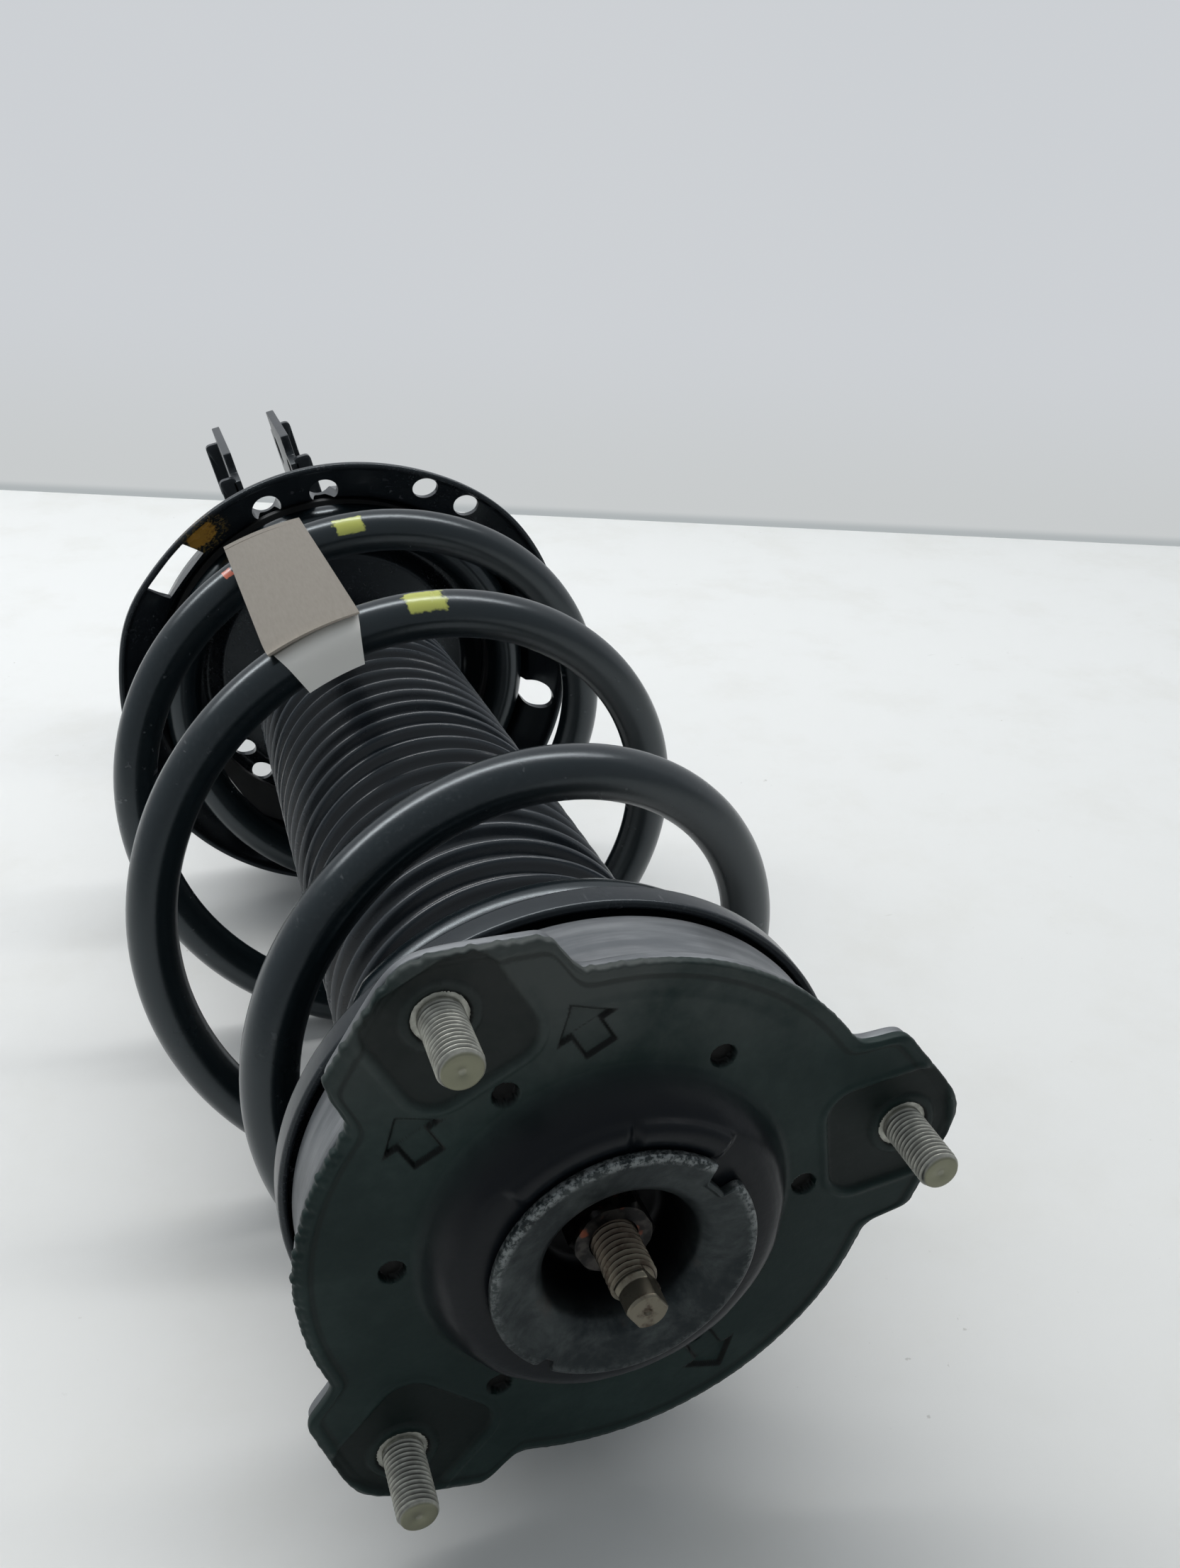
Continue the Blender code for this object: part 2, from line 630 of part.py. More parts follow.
def piston_band(material, parent):
    inner = INNER_TUBE_RADIUS - INNER_TUBE_WALL
    start = PISTON_STATION + (PISTON_LENGTH - BAND_LENGTH) / 2
    bore = inner - RUNNING_GAP - PISTON_GROOVE + SEAT_GAP
    outside = inner - SEAT_GAP
    profile = [(bore, start), (outside, start), (outside, start + BAND_LENGTH), (bore, start + BAND_LENGTH)]
    return turned("piston_band", profile, material, parent, steps=24)


def piston_nut(material, parent):
    start = PISTON_STATION + PISTON_LENGTH + SEAT_GAP
    nut = extruded("piston_nut", hexagon(PISTON_NUT_FLATS), start, PISTON_NUT_HEIGHT, material, parent)
    cutter = bmesh.new()
    add_cylinder(cutter, Vector((0, start, 0)), ALONG, PISTON_SPIGOT_DIAMETER + 2 * SEAT_GAP, 0.05)
    combine(nut, cutter)
    return nut


def bump_stop_cup(material, parent):
    """Pressed cup on the rod's shoulder that holds the bump stop's root."""
    start = ROD_SHOULDER_STATION + CORE_BORE_GAP
    bore = ROD_RADIUS + SEAT_GAP
    floor = BUMP_CUP_STATION
    profile = [
        (bore, start),
        (bore + BUMP_CUP_SHEET, start),
        (bore + BUMP_CUP_SHEET, floor),
        (BUMP_CUP_RADIUS, floor),
        (BUMP_CUP_RADIUS, floor + BUMP_CUP_DEPTH),
        (BUMP_CUP_RADIUS - BUMP_CUP_SHEET, floor + BUMP_CUP_DEPTH),
        (BUMP_CUP_RADIUS - BUMP_CUP_SHEET, floor + BUMP_CUP_SHEET),
        (bore, floor + BUMP_CUP_SHEET),
    ]
    return turned("bump_stop_cup", profile, material, parent)


def bump_stop(material, parent):
    """A foam sleeve with three waists."""
    start = BUMP_CUP_STATION + BUMP_CUP_SHEET + SEAT_GAP
    bore = ROD_RADIUS + 0.0010
    outside = [(BUMP_STOP_RADIUS, start)]
    for k in range(3):
        low = start + BUMP_STOP_LENGTH * (0.28 + 0.22 * k)
        crest = BUMP_STOP_RADIUS - 0.0022 * k
        outside += [(crest, low - 0.005), (crest - 0.0050, low)]
    outside.append((BUMP_STOP_RADIUS - 0.0100, start + BUMP_STOP_LENGTH))
    profile = [(bore, start)] + outside + [(bore, start + BUMP_STOP_LENGTH)]
    return turned("bump_stop", profile, material, parent)


# ---------------------------------------------------------------- bearing and upper seat
def bearing_race(name, start, material, parent, groove_side):
    """A flat race with a shallow groove for the balls on one face."""
    middle = (BEARING_RADIUS + BEARING_BORE_RADIUS) / 2
    half, deep = 0.0024, 0.0012
    end = start + RACE_HEIGHT
    if groove_side > 0:
        face = [(middle + half, end), (middle, end - deep), (middle - half, end)]
        profile = [(BEARING_BORE_RADIUS, start), (BEARING_RADIUS, start), (BEARING_RADIUS, end)]
        profile += face + [(BEARING_BORE_RADIUS, end)]
    else:
        face = [(middle - half, start), (middle, start + deep), (middle + half, start)]
        profile = [(BEARING_BORE_RADIUS, start)] + face
        profile += [(BEARING_RADIUS, start), (BEARING_RADIUS, end), (BEARING_BORE_RADIUS, end)]
    return turned(name, profile, material, parent)


def bearing_ball_cage(material, parent):
    """A flat cage with its balls set in it, joined into one ring."""
    middle = (BEARING_RADIUS + BEARING_BORE_RADIUS) / 2
    centre = BEARING_STATION + RACE_HEIGHT + BALL_DIAMETER / 2
    half = CAGE_HEIGHT / 2
    profile = [
        (middle - 0.0036, centre - half),
        (middle + 0.0036, centre - half),
        (middle + 0.0036, centre + half),
        (middle - 0.0036, centre + half),
    ]
    cage = turned("bearing_ball_cage", profile, material, parent)
    balls = bmesh.new()
    for k in range(BALL_COUNT):
        ball = bmesh.ops.create_icosphere(balls, subdivisions=1, radius=BALL_DIAMETER / 2 - SEAT_GAP)
        spot = at_angle(middle, 2 * pi * (k + 0.5) / BALL_COUNT, centre)
        bmesh.ops.translate(balls, vec=spot, verts=ball["verts"])
    combine(cage, balls, "UNION")
    return cage


def upper_spring_seat(material, parent):
    """Pressed seat: a hub under the bearing, a shallow step down to the web that the
    spring's pad lies on, and a rim that stands up towards the shell."""
    hub, web, sheet = UPPER_HUB_STATION, WEB_STATION, SEAT_SHEET
    rim = SEAT_RIM_RADIUS
    profile = [
        (SEAT_BORE_RADIUS, hub),
        (SEAT_HUB_RADIUS, hub),
        (SEAT_HUB_RADIUS + 0.0030, web),
        (rim - 0.0012, web),
        (rim - 0.0012, web - SEAT_RIM_HEIGHT),
        (rim + 0.0012, web - SEAT_RIM_HEIGHT),
        (rim + 0.0012, web + sheet - 0.0010),
        (rim + 0.0002, web + sheet),
        (SEAT_HUB_RADIUS + 0.0020, web + sheet),
        (SEAT_HUB_RADIUS - 0.0010, hub + sheet),
        (SEAT_BORE_RADIUS, hub + sheet),
    ]
    return turned("upper_spring_seat", profile, material, parent, steps=32)


def spring_pad(name, station, radius, material, parent):
    """A flat rubber ring between the end turn and its seat."""
    inner, outer = radius - WIRE_RADIUS + PAD_INSET, radius + WIRE_RADIUS - PAD_INSET
    end = station + PAD_THICKNESS
    profile = [(inner, station), (outer, station), (outer, end), (inner, end)]
    return turned(name, profile, material, parent, steps=32)


def dust_boot(material, parent):
    """A ribbed sleeve with a plain bore, a flat root on the upper seat and a cuff that
    grips the lower seat's collar."""
    start, end = BOOT_TOP_STATION, BOOT_END_STATION
    ribs_start = start + BOOT_RIB_PITCH
    ribs = int((end - BOOT_CUFF_LENGTH - ribs_start) / BOOT_RIB_PITCH)
    outside = [(BOOT_TOP_RADIUS - 0.0010, start)]
    for k in range(ribs):
        share = (k + 0.5) / ribs
        crest = BOOT_TOP_RADIUS + (BOOT_END_RADIUS - BOOT_TOP_RADIUS) * share
        valley = ribs_start + BOOT_RIB_PITCH * k
        outside += [(crest - BOOT_RIB_DEPTH, valley), (crest, valley + BOOT_RIB_PITCH / 2)]
    cuff = COLLAR_STATION - SEAT_GAP
    cuff_bore = COLLAR_RADIUS + SEAT_GAP
    outside += [(BOOT_BORE_RADIUS + 0.0030, cuff - 0.0030), (cuff_bore + 0.0030, cuff + 0.0040)]
    outside += [(cuff_bore + 0.0030, end)]
    inside = [(cuff_bore, end), (cuff_bore, cuff)]
    inside += [(BOOT_BORE_RADIUS, cuff - 0.0060), (BOOT_BORE_RADIUS, start)]
    return turned("dust_boot", outside + inside, material, parent)


# ---------------------------------------------------------------- spring
def coil_angle(turn):
    return radians(COIL_START_ANGLE) - 2 * pi * (turn - COIL_FIRST_TURN)


def coil_point(turn):
    """The wire's centre. The swollen middle turns stand off the axis to one side, as on
    springs that take side load off the damper's rod."""
    bow = Vector((COIL_BOW_ACROSS, 0, COIL_BOW_UP)) * float(coil_swell(turn) - coil_taper(turn))
    return at_angle(float(coil_radius(turn)), coil_angle(turn), float(coil_station(turn))) + bow


def coil_spring(material, parent):
    """One unbroken round wire along a right-handed helix with closed, flat end turns.
    The turns that touch what the strut lies on are cut flat there."""
    turns = COIL_LAST_TURN - COIL_FIRST_TURN
    count = int(round(turns * POINTS_PER_TURN)) + 1
    path = [coil_point(np.float64(COIL_FIRST_TURN + turns * k / (count - 1))) for k in range(count)]
    curve = bpy.data.curves.new("coil_spring", "CURVE")
    curve.dimensions = "3D"
    curve.bevel_depth = WIRE_RADIUS
    curve.bevel_resolution = 1
    curve.use_fill_caps = True
    spline = curve.splines.new("POLY")
    spline.points.add(count - 1)
    for point, place in zip(spline.points, path):
        point.co = (*place, 1.0)
    guide = bpy.data.objects.new("coil_guide", curve)
    bpy.context.collection.objects.link(guide)
    mesh = bpy.data.meshes.new_from_object(guide)
    bpy.data.objects.remove(guide, do_unlink=True)
    built = bmesh.new()
    built.from_mesh(mesh)
    spring = add_object("coil_spring", mesh_of("coil_spring", built), material, parent)
    deep = 0.05
    centre = Vector((0, COIL_LAST_STATION / 2, -AXIS_HEIGHT - deep / 2))
    floor = bmesh.new()
    add_block(floor, centre, (4 * COIL_MIDDLE_RADIUS, 2 * COIL_LAST_STATION, deep), 0.0)
    combine(spring, floor)
    print_least_gap(np.array([tuple(place) for place in path]))
    return spring


def print_least_gap(path):
    """Prints the least gap between turns that are at least half a turn apart."""
    apart = np.linalg.norm(path[:, None, :] - path[None, :, :], axis=2)
    order = np.arange(len(path))
    far = abs(order[:, None] - order[None, :]) >= POINTS_PER_TURN // 2
    least = apart[far].min() - WIRE_DIAMETER
    print(f"coil spring: least gap to itself {least * 1000:.1f} mm")


def label_path(share, lift):
    """Along the tag, at a share of its width: from behind the far turn's top, straight to
    the near turn, over it, and hanging free."""
    places = []
    for near_turn, around, hang, (right, left), (right_lift, left_lift) in LABEL_ROWS:
        angle = right + (left - right) * share
        off = WIRE_RADIUS + right_lift + (left_lift - right_lift) * share + lift
        turn = COIL_FIRST_TURN + (COIL_START_ANGLE - angle) / 360
        turn = np.float64(turn + round(near_turn - turn))
        out = at_angle(cos(radians(around)), coil_angle(turn), -sin(radians(around)))
        places.append(coil_point(turn) + out * off + at_angle(-hang, radians(angle), 0.0))
    return places


def spring_label(material, parent):
    """A bare paper tag, as one thin closed sheet."""
    built = bmesh.new()
    loops = []
    for step in range(LABEL_STEPS + 1):
        share = step / LABEL_STEPS
        places = label_path(share, LABEL_SHEET) + label_path(share, 0.0)[::-1]
        loops.append([built.verts.new(place) for place in places])
    count = len(loops[0])
    for loop, following in zip(loops, loops[1:]):
        for one in range(count):
            other = (one + 1) % count
            built.faces.new((loop[one], loop[other], following[other], following[one]))
    for loop in (loops[0], loops[-1]):
        for one in range(count // 2 - 1):
            built.faces.new((loop[one], loop[one + 1], loop[-2 - one], loop[-1 - one]))
    bmesh.ops.triangulate(built, faces=built.faces)
    return add_object("spring_label", mesh_of("spring_label", built), material, parent)


# ---------------------------------------------------------------- lower seat
def rim_radius(angle):
    """Distance from the strut's axis to the rim's circle, whose centre lies above it."""
    lift = RIM_RISE * cos(angle)
    return -lift + (lift * lift + RIM_RADIUS**2 - RIM_RISE**2) ** 0.5


def lower_spring_seat(material, parent):
    """A deep pressed dish: a collar on the tube, a cone out to the flat base under the
    spring's end turn, then a fluted wall that flares to a rolled rim."""
    sheet = DISH_SHEET
    collar = COLLAR_RADIUS
    bore = TUBE_RADIUS + SEAT_GAP
    base, wall = DISH_STATION, DISH_WALL_RADIUS

    def flute(depth):
        return lambda angle: wall + depth + FLUTE_DEPTH * cos(FLUTE_COUNT * angle)

    def between(share, out):
        inner, outer = flute(out), rim(-out)
        return lambda angle: inner(angle) * (1 - share) + outer(angle) * share

    def rim(inwards):
        return lambda angle: rim_radius(angle) - inwards

    slope = base - 0.0060
    front = [
        (constant(bore), constant(COLLAR_STATION)),
        (constant(collar), constant(COLLAR_STATION)),
        (constant(collar), constant(base - 0.0070)),
        (constant(DISH_BASE_INNER_RADIUS - 0.0060), constant(base - 0.0045)),
        (constant(DISH_BASE_INNER_RADIUS), constant(base)),
        (flute(0.0), constant(base)),
        (between(0.50, 0.0), constant(slope)),
        (rim(0.0026), constant(RIM_STATION)),
    ]
    back = [
        (rim(0.0), constant(RIM_STATION)),
        (rim(0.0), constant(RIM_STATION + sheet)),
        (rim(0.0010), constant(RIM_STATION + sheet + 0.0010)),
        (between(0.50, 0.0022), constant(slope + sheet)),
        (flute(0.0010), constant(base + sheet)),
        (constant(DISH_BASE_INNER_RADIUS - 0.0012), constant(base + sheet)),
        (constant(DISH_BASE_INNER_RADIUS - 0.0072), constant(base - 0.0045 + sheet)),
        (constant(bore), constant(base - 0.0070 + sheet)),
    ]
    seat = swept_ring("lower_spring_seat", front + back, material, parent, even_angles(64))
    cutter = bmesh.new()
    middle, deep = (base + RIM_STATION) / 2, 2.4 * DISH_DEPTH
    for angle, radius in SEAT_HOLES:
        centre = at_angle(radius, radians(angle), middle)
        add_cylinder(cutter, centre, ALONG, SEAT_HOLE_DIAMETER, deep, sides=10)
    for angle, radius in BASE_HOLES:
        centre = at_angle(radius, radians(angle), base)
        add_cylinder(cutter, centre, ALONG, BASE_HOLE_DIAMETER, 0.03, sides=10)
    reach = sum(WINDOW_RADII) / 2
    width = 2 * reach * sin(radians(WINDOW_ANGLES[1] - WINDOW_ANGLES[0]) / 2)
    size = (width, deep, WINDOW_RADII[1] - WINDOW_RADII[0])
    add_block(cutter, Vector((0, middle, -reach)), size, radians(sum(WINDOW_ANGLES) / 2))
    combine(seat, cutter)
    return seat


# ---------------------------------------------------------------- damper body
def strut_tube(material, parent):
    bore, outside, end = TUBE_BORE, TUBE_RADIUS, TUBE_END_STATION
    profile = [
        (0.0, end),
        (outside - 0.0040, end),
        (outside, end - 0.0040),
        (outside, TUBE_TOP_STATION),
        (bore, TUBE_TOP_STATION),
        (bore, end - 0.0060),
        (bore - 0.0020, end - 0.0040),
        (0.0, end - 0.0040),
    ]
    return turned("strut_tube", profile, material, parent, steps=32)


def tube_cap(material, parent):
    """The pressed cap over the tube's mouth, which the bump stop meets."""
    top = TUBE_TOP_STATION - SEAT_GAP - TUBE_CAP_SHEET
    inside = TUBE_RADIUS + SEAT_GAP
    outside = inside + TUBE_CAP_SHEET
    bore = ROD_RADIUS + RUNNING_GAP
    profile = [
        (bore, top),
        (outside - 0.002, top),
        (outside, top + 0.002),
        (outside, TUBE_TOP_STATION + TUBE_CAP_SKIRT),
        (inside, TUBE_TOP_STATION + TUBE_CAP_SKIRT),
        (inside, top + TUBE_CAP_SHEET),
        (bore, top + TUBE_CAP_SHEET),
    ]
    return turned("tube_cap", profile, material, parent)


def rod_seal(material, parent):
    profile = [
        (ROD_RADIUS + SEAT_GAP, SEAL_STATION),
        (TUBE_BORE - SEAT_GAP, SEAL_STATION),
        (TUBE_BORE - SEAT_GAP, SEAL_STATION + SEAL_HEIGHT),
        (ROD_RADIUS + 0.0030, SEAL_STATION + SEAL_HEIGHT),
        (ROD_RADIUS + 0.0030, SEAL_STATION + SEAL_HEIGHT / 2),
        (ROD_RADIUS + SEAT_GAP, SEAL_STATION + SEAL_HEIGHT / 2),
    ]
    return turned("rod_seal", profile, material, parent)


def rod_guide(material, parent):
    inner = INNER_TUBE_RADIUS - INNER_TUBE_WALL - SEAT_GAP
    profile = [
        (ROD_RADIUS + SEAT_GAP, GUIDE_STATION),
        (TUBE_BORE - SEAT_GAP, GUIDE_STATION),
        (TUBE_BORE - SEAT_GAP, INNER_TUBE_STATION - SEAT_GAP),
        (inner, INNER_TUBE_STATION - SEAT_GAP),
        (inner, GUIDE_END_STATION),
        (ROD_RADIUS + SEAT_GAP, GUIDE_END_STATION),
    ]
    return turned("rod_guide", profile, material, parent)


def inner_tube(material, parent):
    outside, bore = INNER_TUBE_RADIUS, INNER_TUBE_RADIUS - INNER_TUBE_WALL
    start, end = INNER_TUBE_STATION, INNER_TUBE_END
    profile = [(bore, start), (outside, start), (outside, end), (bore, end)]
    return turned("inner_tube", profile, material, parent)


def base_valve(material, parent):
    """A stepped disc between the inner tube and the tube's floor, with a centre port."""
    spigot = INNER_TUBE_RADIUS - INNER_TUBE_WALL - SEAT_GAP
    start = BASE_VALVE_STATION
    end = start + BASE_VALVE_HEIGHT
    step = start + BASE_VALVE_HEIGHT / 2
    foot = TUBE_BORE - 0.0024
    profile = [(0.0020, start), (spigot, start), (spigot, step), (foot, step), (foot, end), (0.0020, end)]
    return turned("base_valve", profile, material, parent)


# ---------------------------------------------------------------- knuckle bracket
def knuckle_bracket(material, parent):
    """A clamp round the tube with two ears towards the wheel knuckle. The outline is
    drawn with the ears pointing straight down and then turned to their angle."""
    inner = TUBE_RADIUS + SEAT_GAP
    outer = inner + BRACKET_SHEET
    near, far = EAR_GAP / 2, EAR_GAP / 2 + BRACKET_SHEET
    reach = BRACKET_REACH

    def arc(radius, half):
        """From the ear at +across round the back to the ear at -across."""
        meets = asin(half / radius)
        turns = np.linspace(meets, 2 * pi - meets, 21)
        return [(radius * sin(turn), -radius * cos(turn)) for turn in turns]

    mouth = near + EAR_JOGGLE
    joggle = [(mouth, -inner - 0.0027), (near, -inner - 0.0042)]
    outline = [(far, -reach)] + arc(outer, far) + [(-far, -reach), (-near, -reach)]
    outline += [(-across, down) for across, down in joggle[::-1]] + arc(inner, mouth)[::-1]
    outline += joggle + [(near, -reach)]
    turn = radians(BRACKET_ANGLE)
    start, length = BRACKET_START_STATION, BRACKET_LENGTH
    bracket = extruded("knuckle_bracket", outline, start, length, material, parent, turn)
    across = turn_about_axis(turn) @ Vector((1, 0, 0))
    middle = start + length / 2
    flanges = bmesh.new()
    flange_reach = reach - EAR_STEP - EAR_FLANGE_LENGTH / 2
    for side in (-1, 1):
        for end in (start + BRACKET_SHEET / 2, start + length - BRACKET_SHEET / 2):
            root = far - BRACKET_SHEET / 2
            spot = Vector((side * (root + far + EAR_FLANGE) / 2, end, -flange_reach))
            size = (far + EAR_FLANGE - root, BRACKET_SHEET, EAR_FLANGE_LENGTH)
            add_block(flanges, spot, size, turn)
    combine(bracket, flanges, "UNION")
    cutter = bmesh.new()
    for side, corner in ((-1, start), (1, start + length)):
        spot = at_angle(reach - EAR_HOLE_MARGIN, turn, middle + side * EAR_HOLE_SPACING / 2)
        add_cylinder(cutter, spot, across, EAR_HOLE_DIAMETER, 4 * far)
        size = (4 * far, 2 * EAR_STEP, 2 * EAR_STEP)
        add_block(cutter, Vector((0, corner, -reach)), size, turn)
    combine(bracket, cutter)
    return bracket


# ---------------------------------------------------------------- assembly
def build():
    clear_scene()
    black_paint = finish("black_paint", (0.012, 0.012, 0.013), 0.35)
    black_rubber = finish("black_rubber", (0.022, 0.023, 0.024), 0.62)
    boot_rubber = finish("boot_rubber", (0.014, 0.015, 0.016), 0.45)
    grey_shell = finish("grey_shell", (0.16, 0.165, 0.17), 0.5, 0.6)
    zinc = finish("zinc", (0.42, 0.41, 0.37), 0.42, 0.9)
    dark_steel = finish("dark_steel", (0.06, 0.065, 0.07), 0.45, 0.7)
    bright_steel = finish("bright_steel", (0.55, 0.53, 0.48), 0.3, 1.0)
    chrome = finish("chrome", (0.72, 0.72, 0.73), 0.12, 1.0)
    foam = finish("foam", (0.55, 0.47, 0.28), 0.85)
    bronze = finish("bronze", (0.45, 0.30, 0.14), 0.4, 0.9)
    nylon = finish("nylon", (0.10, 0.10, 0.10), 0.55)
    label_silver = finish("label_silver", (0.40, 0.37, 0.34), 0.42, 0.3)

    strut = joint_empty("strut_body")
    seat = joint_empty("damper_stroke", strut)
    mount = joint_empty("steering_swivel", seat)

    mount_rubber(black_rubber, mount)
    mount_shell(grey_shell, mount)
    for name, angle in STUD_ANGLES.items():
        mounting_stud(name, angle, zinc, mount)
    mount_core(dark_steel, mount)
    cup_washer(dark_steel, mount)
    rod_nut(bright_steel, mount)
    piston_rod(chrome, mount)
    rebound_stop(nylon, mount)
    piston(dark_steel, mount)
    piston_band(bronze, mount)
    piston_nut(bright_steel, mount)
    bump_stop_cup(dark_steel, mount)
    bump_stop(foam, mount)
    bearing_race("bearing_upper_race", BEARING_STATION, bright_steel, mount, 1)

    lower_race = BEARING_STATION + RACE_HEIGHT + BALL_DIAMETER - SEAT_GAP
    bearing_race("bearing_lower_race", lower_race, bright_steel, seat, -1)
    bearing_ball_cage(nylon, seat)
    upper_spring_seat(black_paint, seat)
    spring_pad("upper_spring_pad", UPPER_PAD_STATION, COIL_TOP_RADIUS, black_rubber, seat)

    coil_spring(black_paint, strut)
    spring_label(label_silver, strut)
    dust_boot(boot_rubber, strut)
    spring_pad("lower_spring_pad", LOWER_PAD_STATION, COIL_END_RADIUS, black_rubber, strut)
    lower_spring_seat(black_paint, strut)
    strut_tube(black_paint, strut)
    tube_cap(bright_steel, strut)
    rod_seal(black_rubber, strut)
    rod_guide(bronze, strut)
    inner_tube(bright_steel, strut)
    base_valve(bronze, strut)
    knuckle_bracket(black_paint, strut)


build()
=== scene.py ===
# %% [markdown]
# # A suspension strut on a pale table
#
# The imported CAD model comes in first, as a fixed frame, and nothing in it is moved. Each
# cell after that dresses one part of the strut, either with a finer surface that stands for
# the CAD piece or with a finish on the CAD piece itself. The strut lies along +Y, with its
# top mount towards the camera.

import bmesh
import bpy
import numpy as np
from mathutils import Matrix, Vector


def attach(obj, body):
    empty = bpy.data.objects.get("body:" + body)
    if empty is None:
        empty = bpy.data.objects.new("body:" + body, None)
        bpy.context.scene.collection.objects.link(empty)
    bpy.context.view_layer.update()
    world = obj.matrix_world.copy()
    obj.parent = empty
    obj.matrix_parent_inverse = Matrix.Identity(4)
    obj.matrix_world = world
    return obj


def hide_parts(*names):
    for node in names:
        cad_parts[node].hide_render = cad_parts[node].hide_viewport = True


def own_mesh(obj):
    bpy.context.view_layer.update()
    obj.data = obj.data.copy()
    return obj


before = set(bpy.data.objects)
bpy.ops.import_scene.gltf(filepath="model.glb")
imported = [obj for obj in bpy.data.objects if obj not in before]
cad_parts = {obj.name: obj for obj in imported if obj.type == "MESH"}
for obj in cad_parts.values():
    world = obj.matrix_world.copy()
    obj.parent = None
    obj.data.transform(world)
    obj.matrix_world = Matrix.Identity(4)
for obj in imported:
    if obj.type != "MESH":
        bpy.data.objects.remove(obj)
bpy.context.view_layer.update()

# %% [markdown]
# ## Places on the strut
#
# A strut is a stack of round things on one axis, so a place is easiest to say as a radius,
# an angle round the axis and a station along it. Angles start straight down and run
# counter-clockwise as seen from the mount; stations start at the mount's rubber face. One
# function turns whole arrays of those into world coordinates, and every piece below uses it.

# %% Places
MM = 0.001
AXIS_ACROSS = 1.9625 * MM
AXIS_HEIGHT = 89.45 * MM
FACE_Y = -245.4 * MM


def place(radius, angle, station):
    """x = axis + r sin a, y = face + station, z = axis height - r cos a."""
    radius, angle, station = np.broadcast_arrays(radius, angle, station)
    across = AXIS_ACROSS + radius * np.sin(angle)
    return np.stack([across, FACE_Y + station, AXIS_HEIGHT - radius * np.cos(angle)], axis=-1)


def outward(angle):
    """The direction away from the axis: (sin a, 0, -cos a)."""
    return place(1.0, angle, 0.0) - place(0.0, angle, 0.0)


def round_angles(count):
    return np.arange(count) * 2 * np.pi / count


def smooth_step(x):
    """3x^2 - 2x^3 between 0 and 1, flat outside."""
    x = np.clip(x, 0.0, 1.0)
    return x * x * (3 - 2 * x)


def wander(angle, waves, seed):
    """A closed, smooth, irregular line round the circle: a sum of sines with seeded phases,
    each wave's height falling with its number of turns. It stays between about -1 and 1."""
    rng = np.random.default_rng(seed)
    total = np.zeros_like(angle)
    for turns in waves:
        total += np.sin(turns * angle + rng.uniform(0, 2 * np.pi)) / np.sqrt(len(waves))
    return total


# %% [markdown]
# ## From a grid of points to a mesh
#
# Each new surface is a grid: rows run along a profile and columns run round or along the
# piece. The faces of such a grid never change, so one function works them all out with array
# sums and hands them to Blender. A grid can close on itself in either direction. Rows that
# shrink to a point are merged afterwards, so that poles are closed, and the normals are
# recalculated so that every face points outwards.

# %% Grid surfaces
def grid_quads(rows, columns, wrap_rows, wrap_columns):
    """Corner numbers and grid coordinates of each quad between neighbours (i, j), (i+1, j+1)."""
    steps = (rows - (not wrap_rows), columns - (not wrap_columns))
    i, j = (grid.ravel() for grid in np.indices(steps))
    corners = [(i, j), (i + 1, j), (i + 1, j + 1), (i, j + 1)]
    quads = np.stack([(a % rows) * columns + b % columns for a, b in corners], axis=-1)
    uv = np.stack([np.stack([a / steps[0], b / steps[1]], axis=-1) for a, b in corners], axis=1)
    return quads, uv


def surface(name, points, finish, body, stands_for=(), wrap=(True, True), wear=None, sharp=35.0):
    """Makes a piece from a (rows, columns, 3) grid of world places."""
    rows, columns = points.shape[:2]
    quads, uv = grid_quads(rows, columns, *wrap)
    mesh = bpy.data.meshes.new(name)
    mesh.from_pydata(points.reshape(-1, 3).tolist(), [], quads.tolist())
    layer = mesh.uv_layers.new(name="UVMap")
    layer.data.foreach_set("uv", uv.astype(np.float32).ravel())
    # a point attribute: painted shade on the mount's rubber, a painted highlight on the boot's crests,
    # crest height on threads
    if wear is not None:
        attribute = mesh.attributes.new("wear", "FLOAT", "POINT")
        values = np.broadcast_to(wear, (rows, columns)).astype(np.float32).ravel()
        attribute.data.foreach_set("value", values)
    close_and_turn_out(mesh)
    return add_piece(name, mesh, finish, body, stands_for, sharp)


def close_and_turn_out(mesh):
    built = bmesh.new()
    built.from_mesh(mesh)
    bmesh.ops.remove_doubles(built, verts=built.verts, dist=1e-6)
    bmesh.ops.recalc_face_normals(built, faces=built.faces)
    built.to_mesh(mesh)
    built.free()


def add_piece(name, mesh, finish, body, stands_for=(), sharp=35.0):
    piece = bpy.data.objects.new(name, mesh)
    bpy.context.collection.objects.link(piece)
    mesh.materials.append(finish.material)
    mesh.shade_smooth()
    mesh.set_sharp_from_angle(angle=np.radians(sharp))
    if stands_for:
        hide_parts(*stands_for)
    if body:
        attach(piece, body)
    return piece


# %% [markdown]
# ## Turned shapes with soft corners
#
# Pressed sheet and moulded rubber have no sharp corners. So profiles are listed with plain
# corners, as on a drawing, and a helper then cuts every corner back and bridges the cut
# with a quadratic curve. It works on any number of profiles at once, which lets the flutes
# of the lower seat change the profile all the way round.

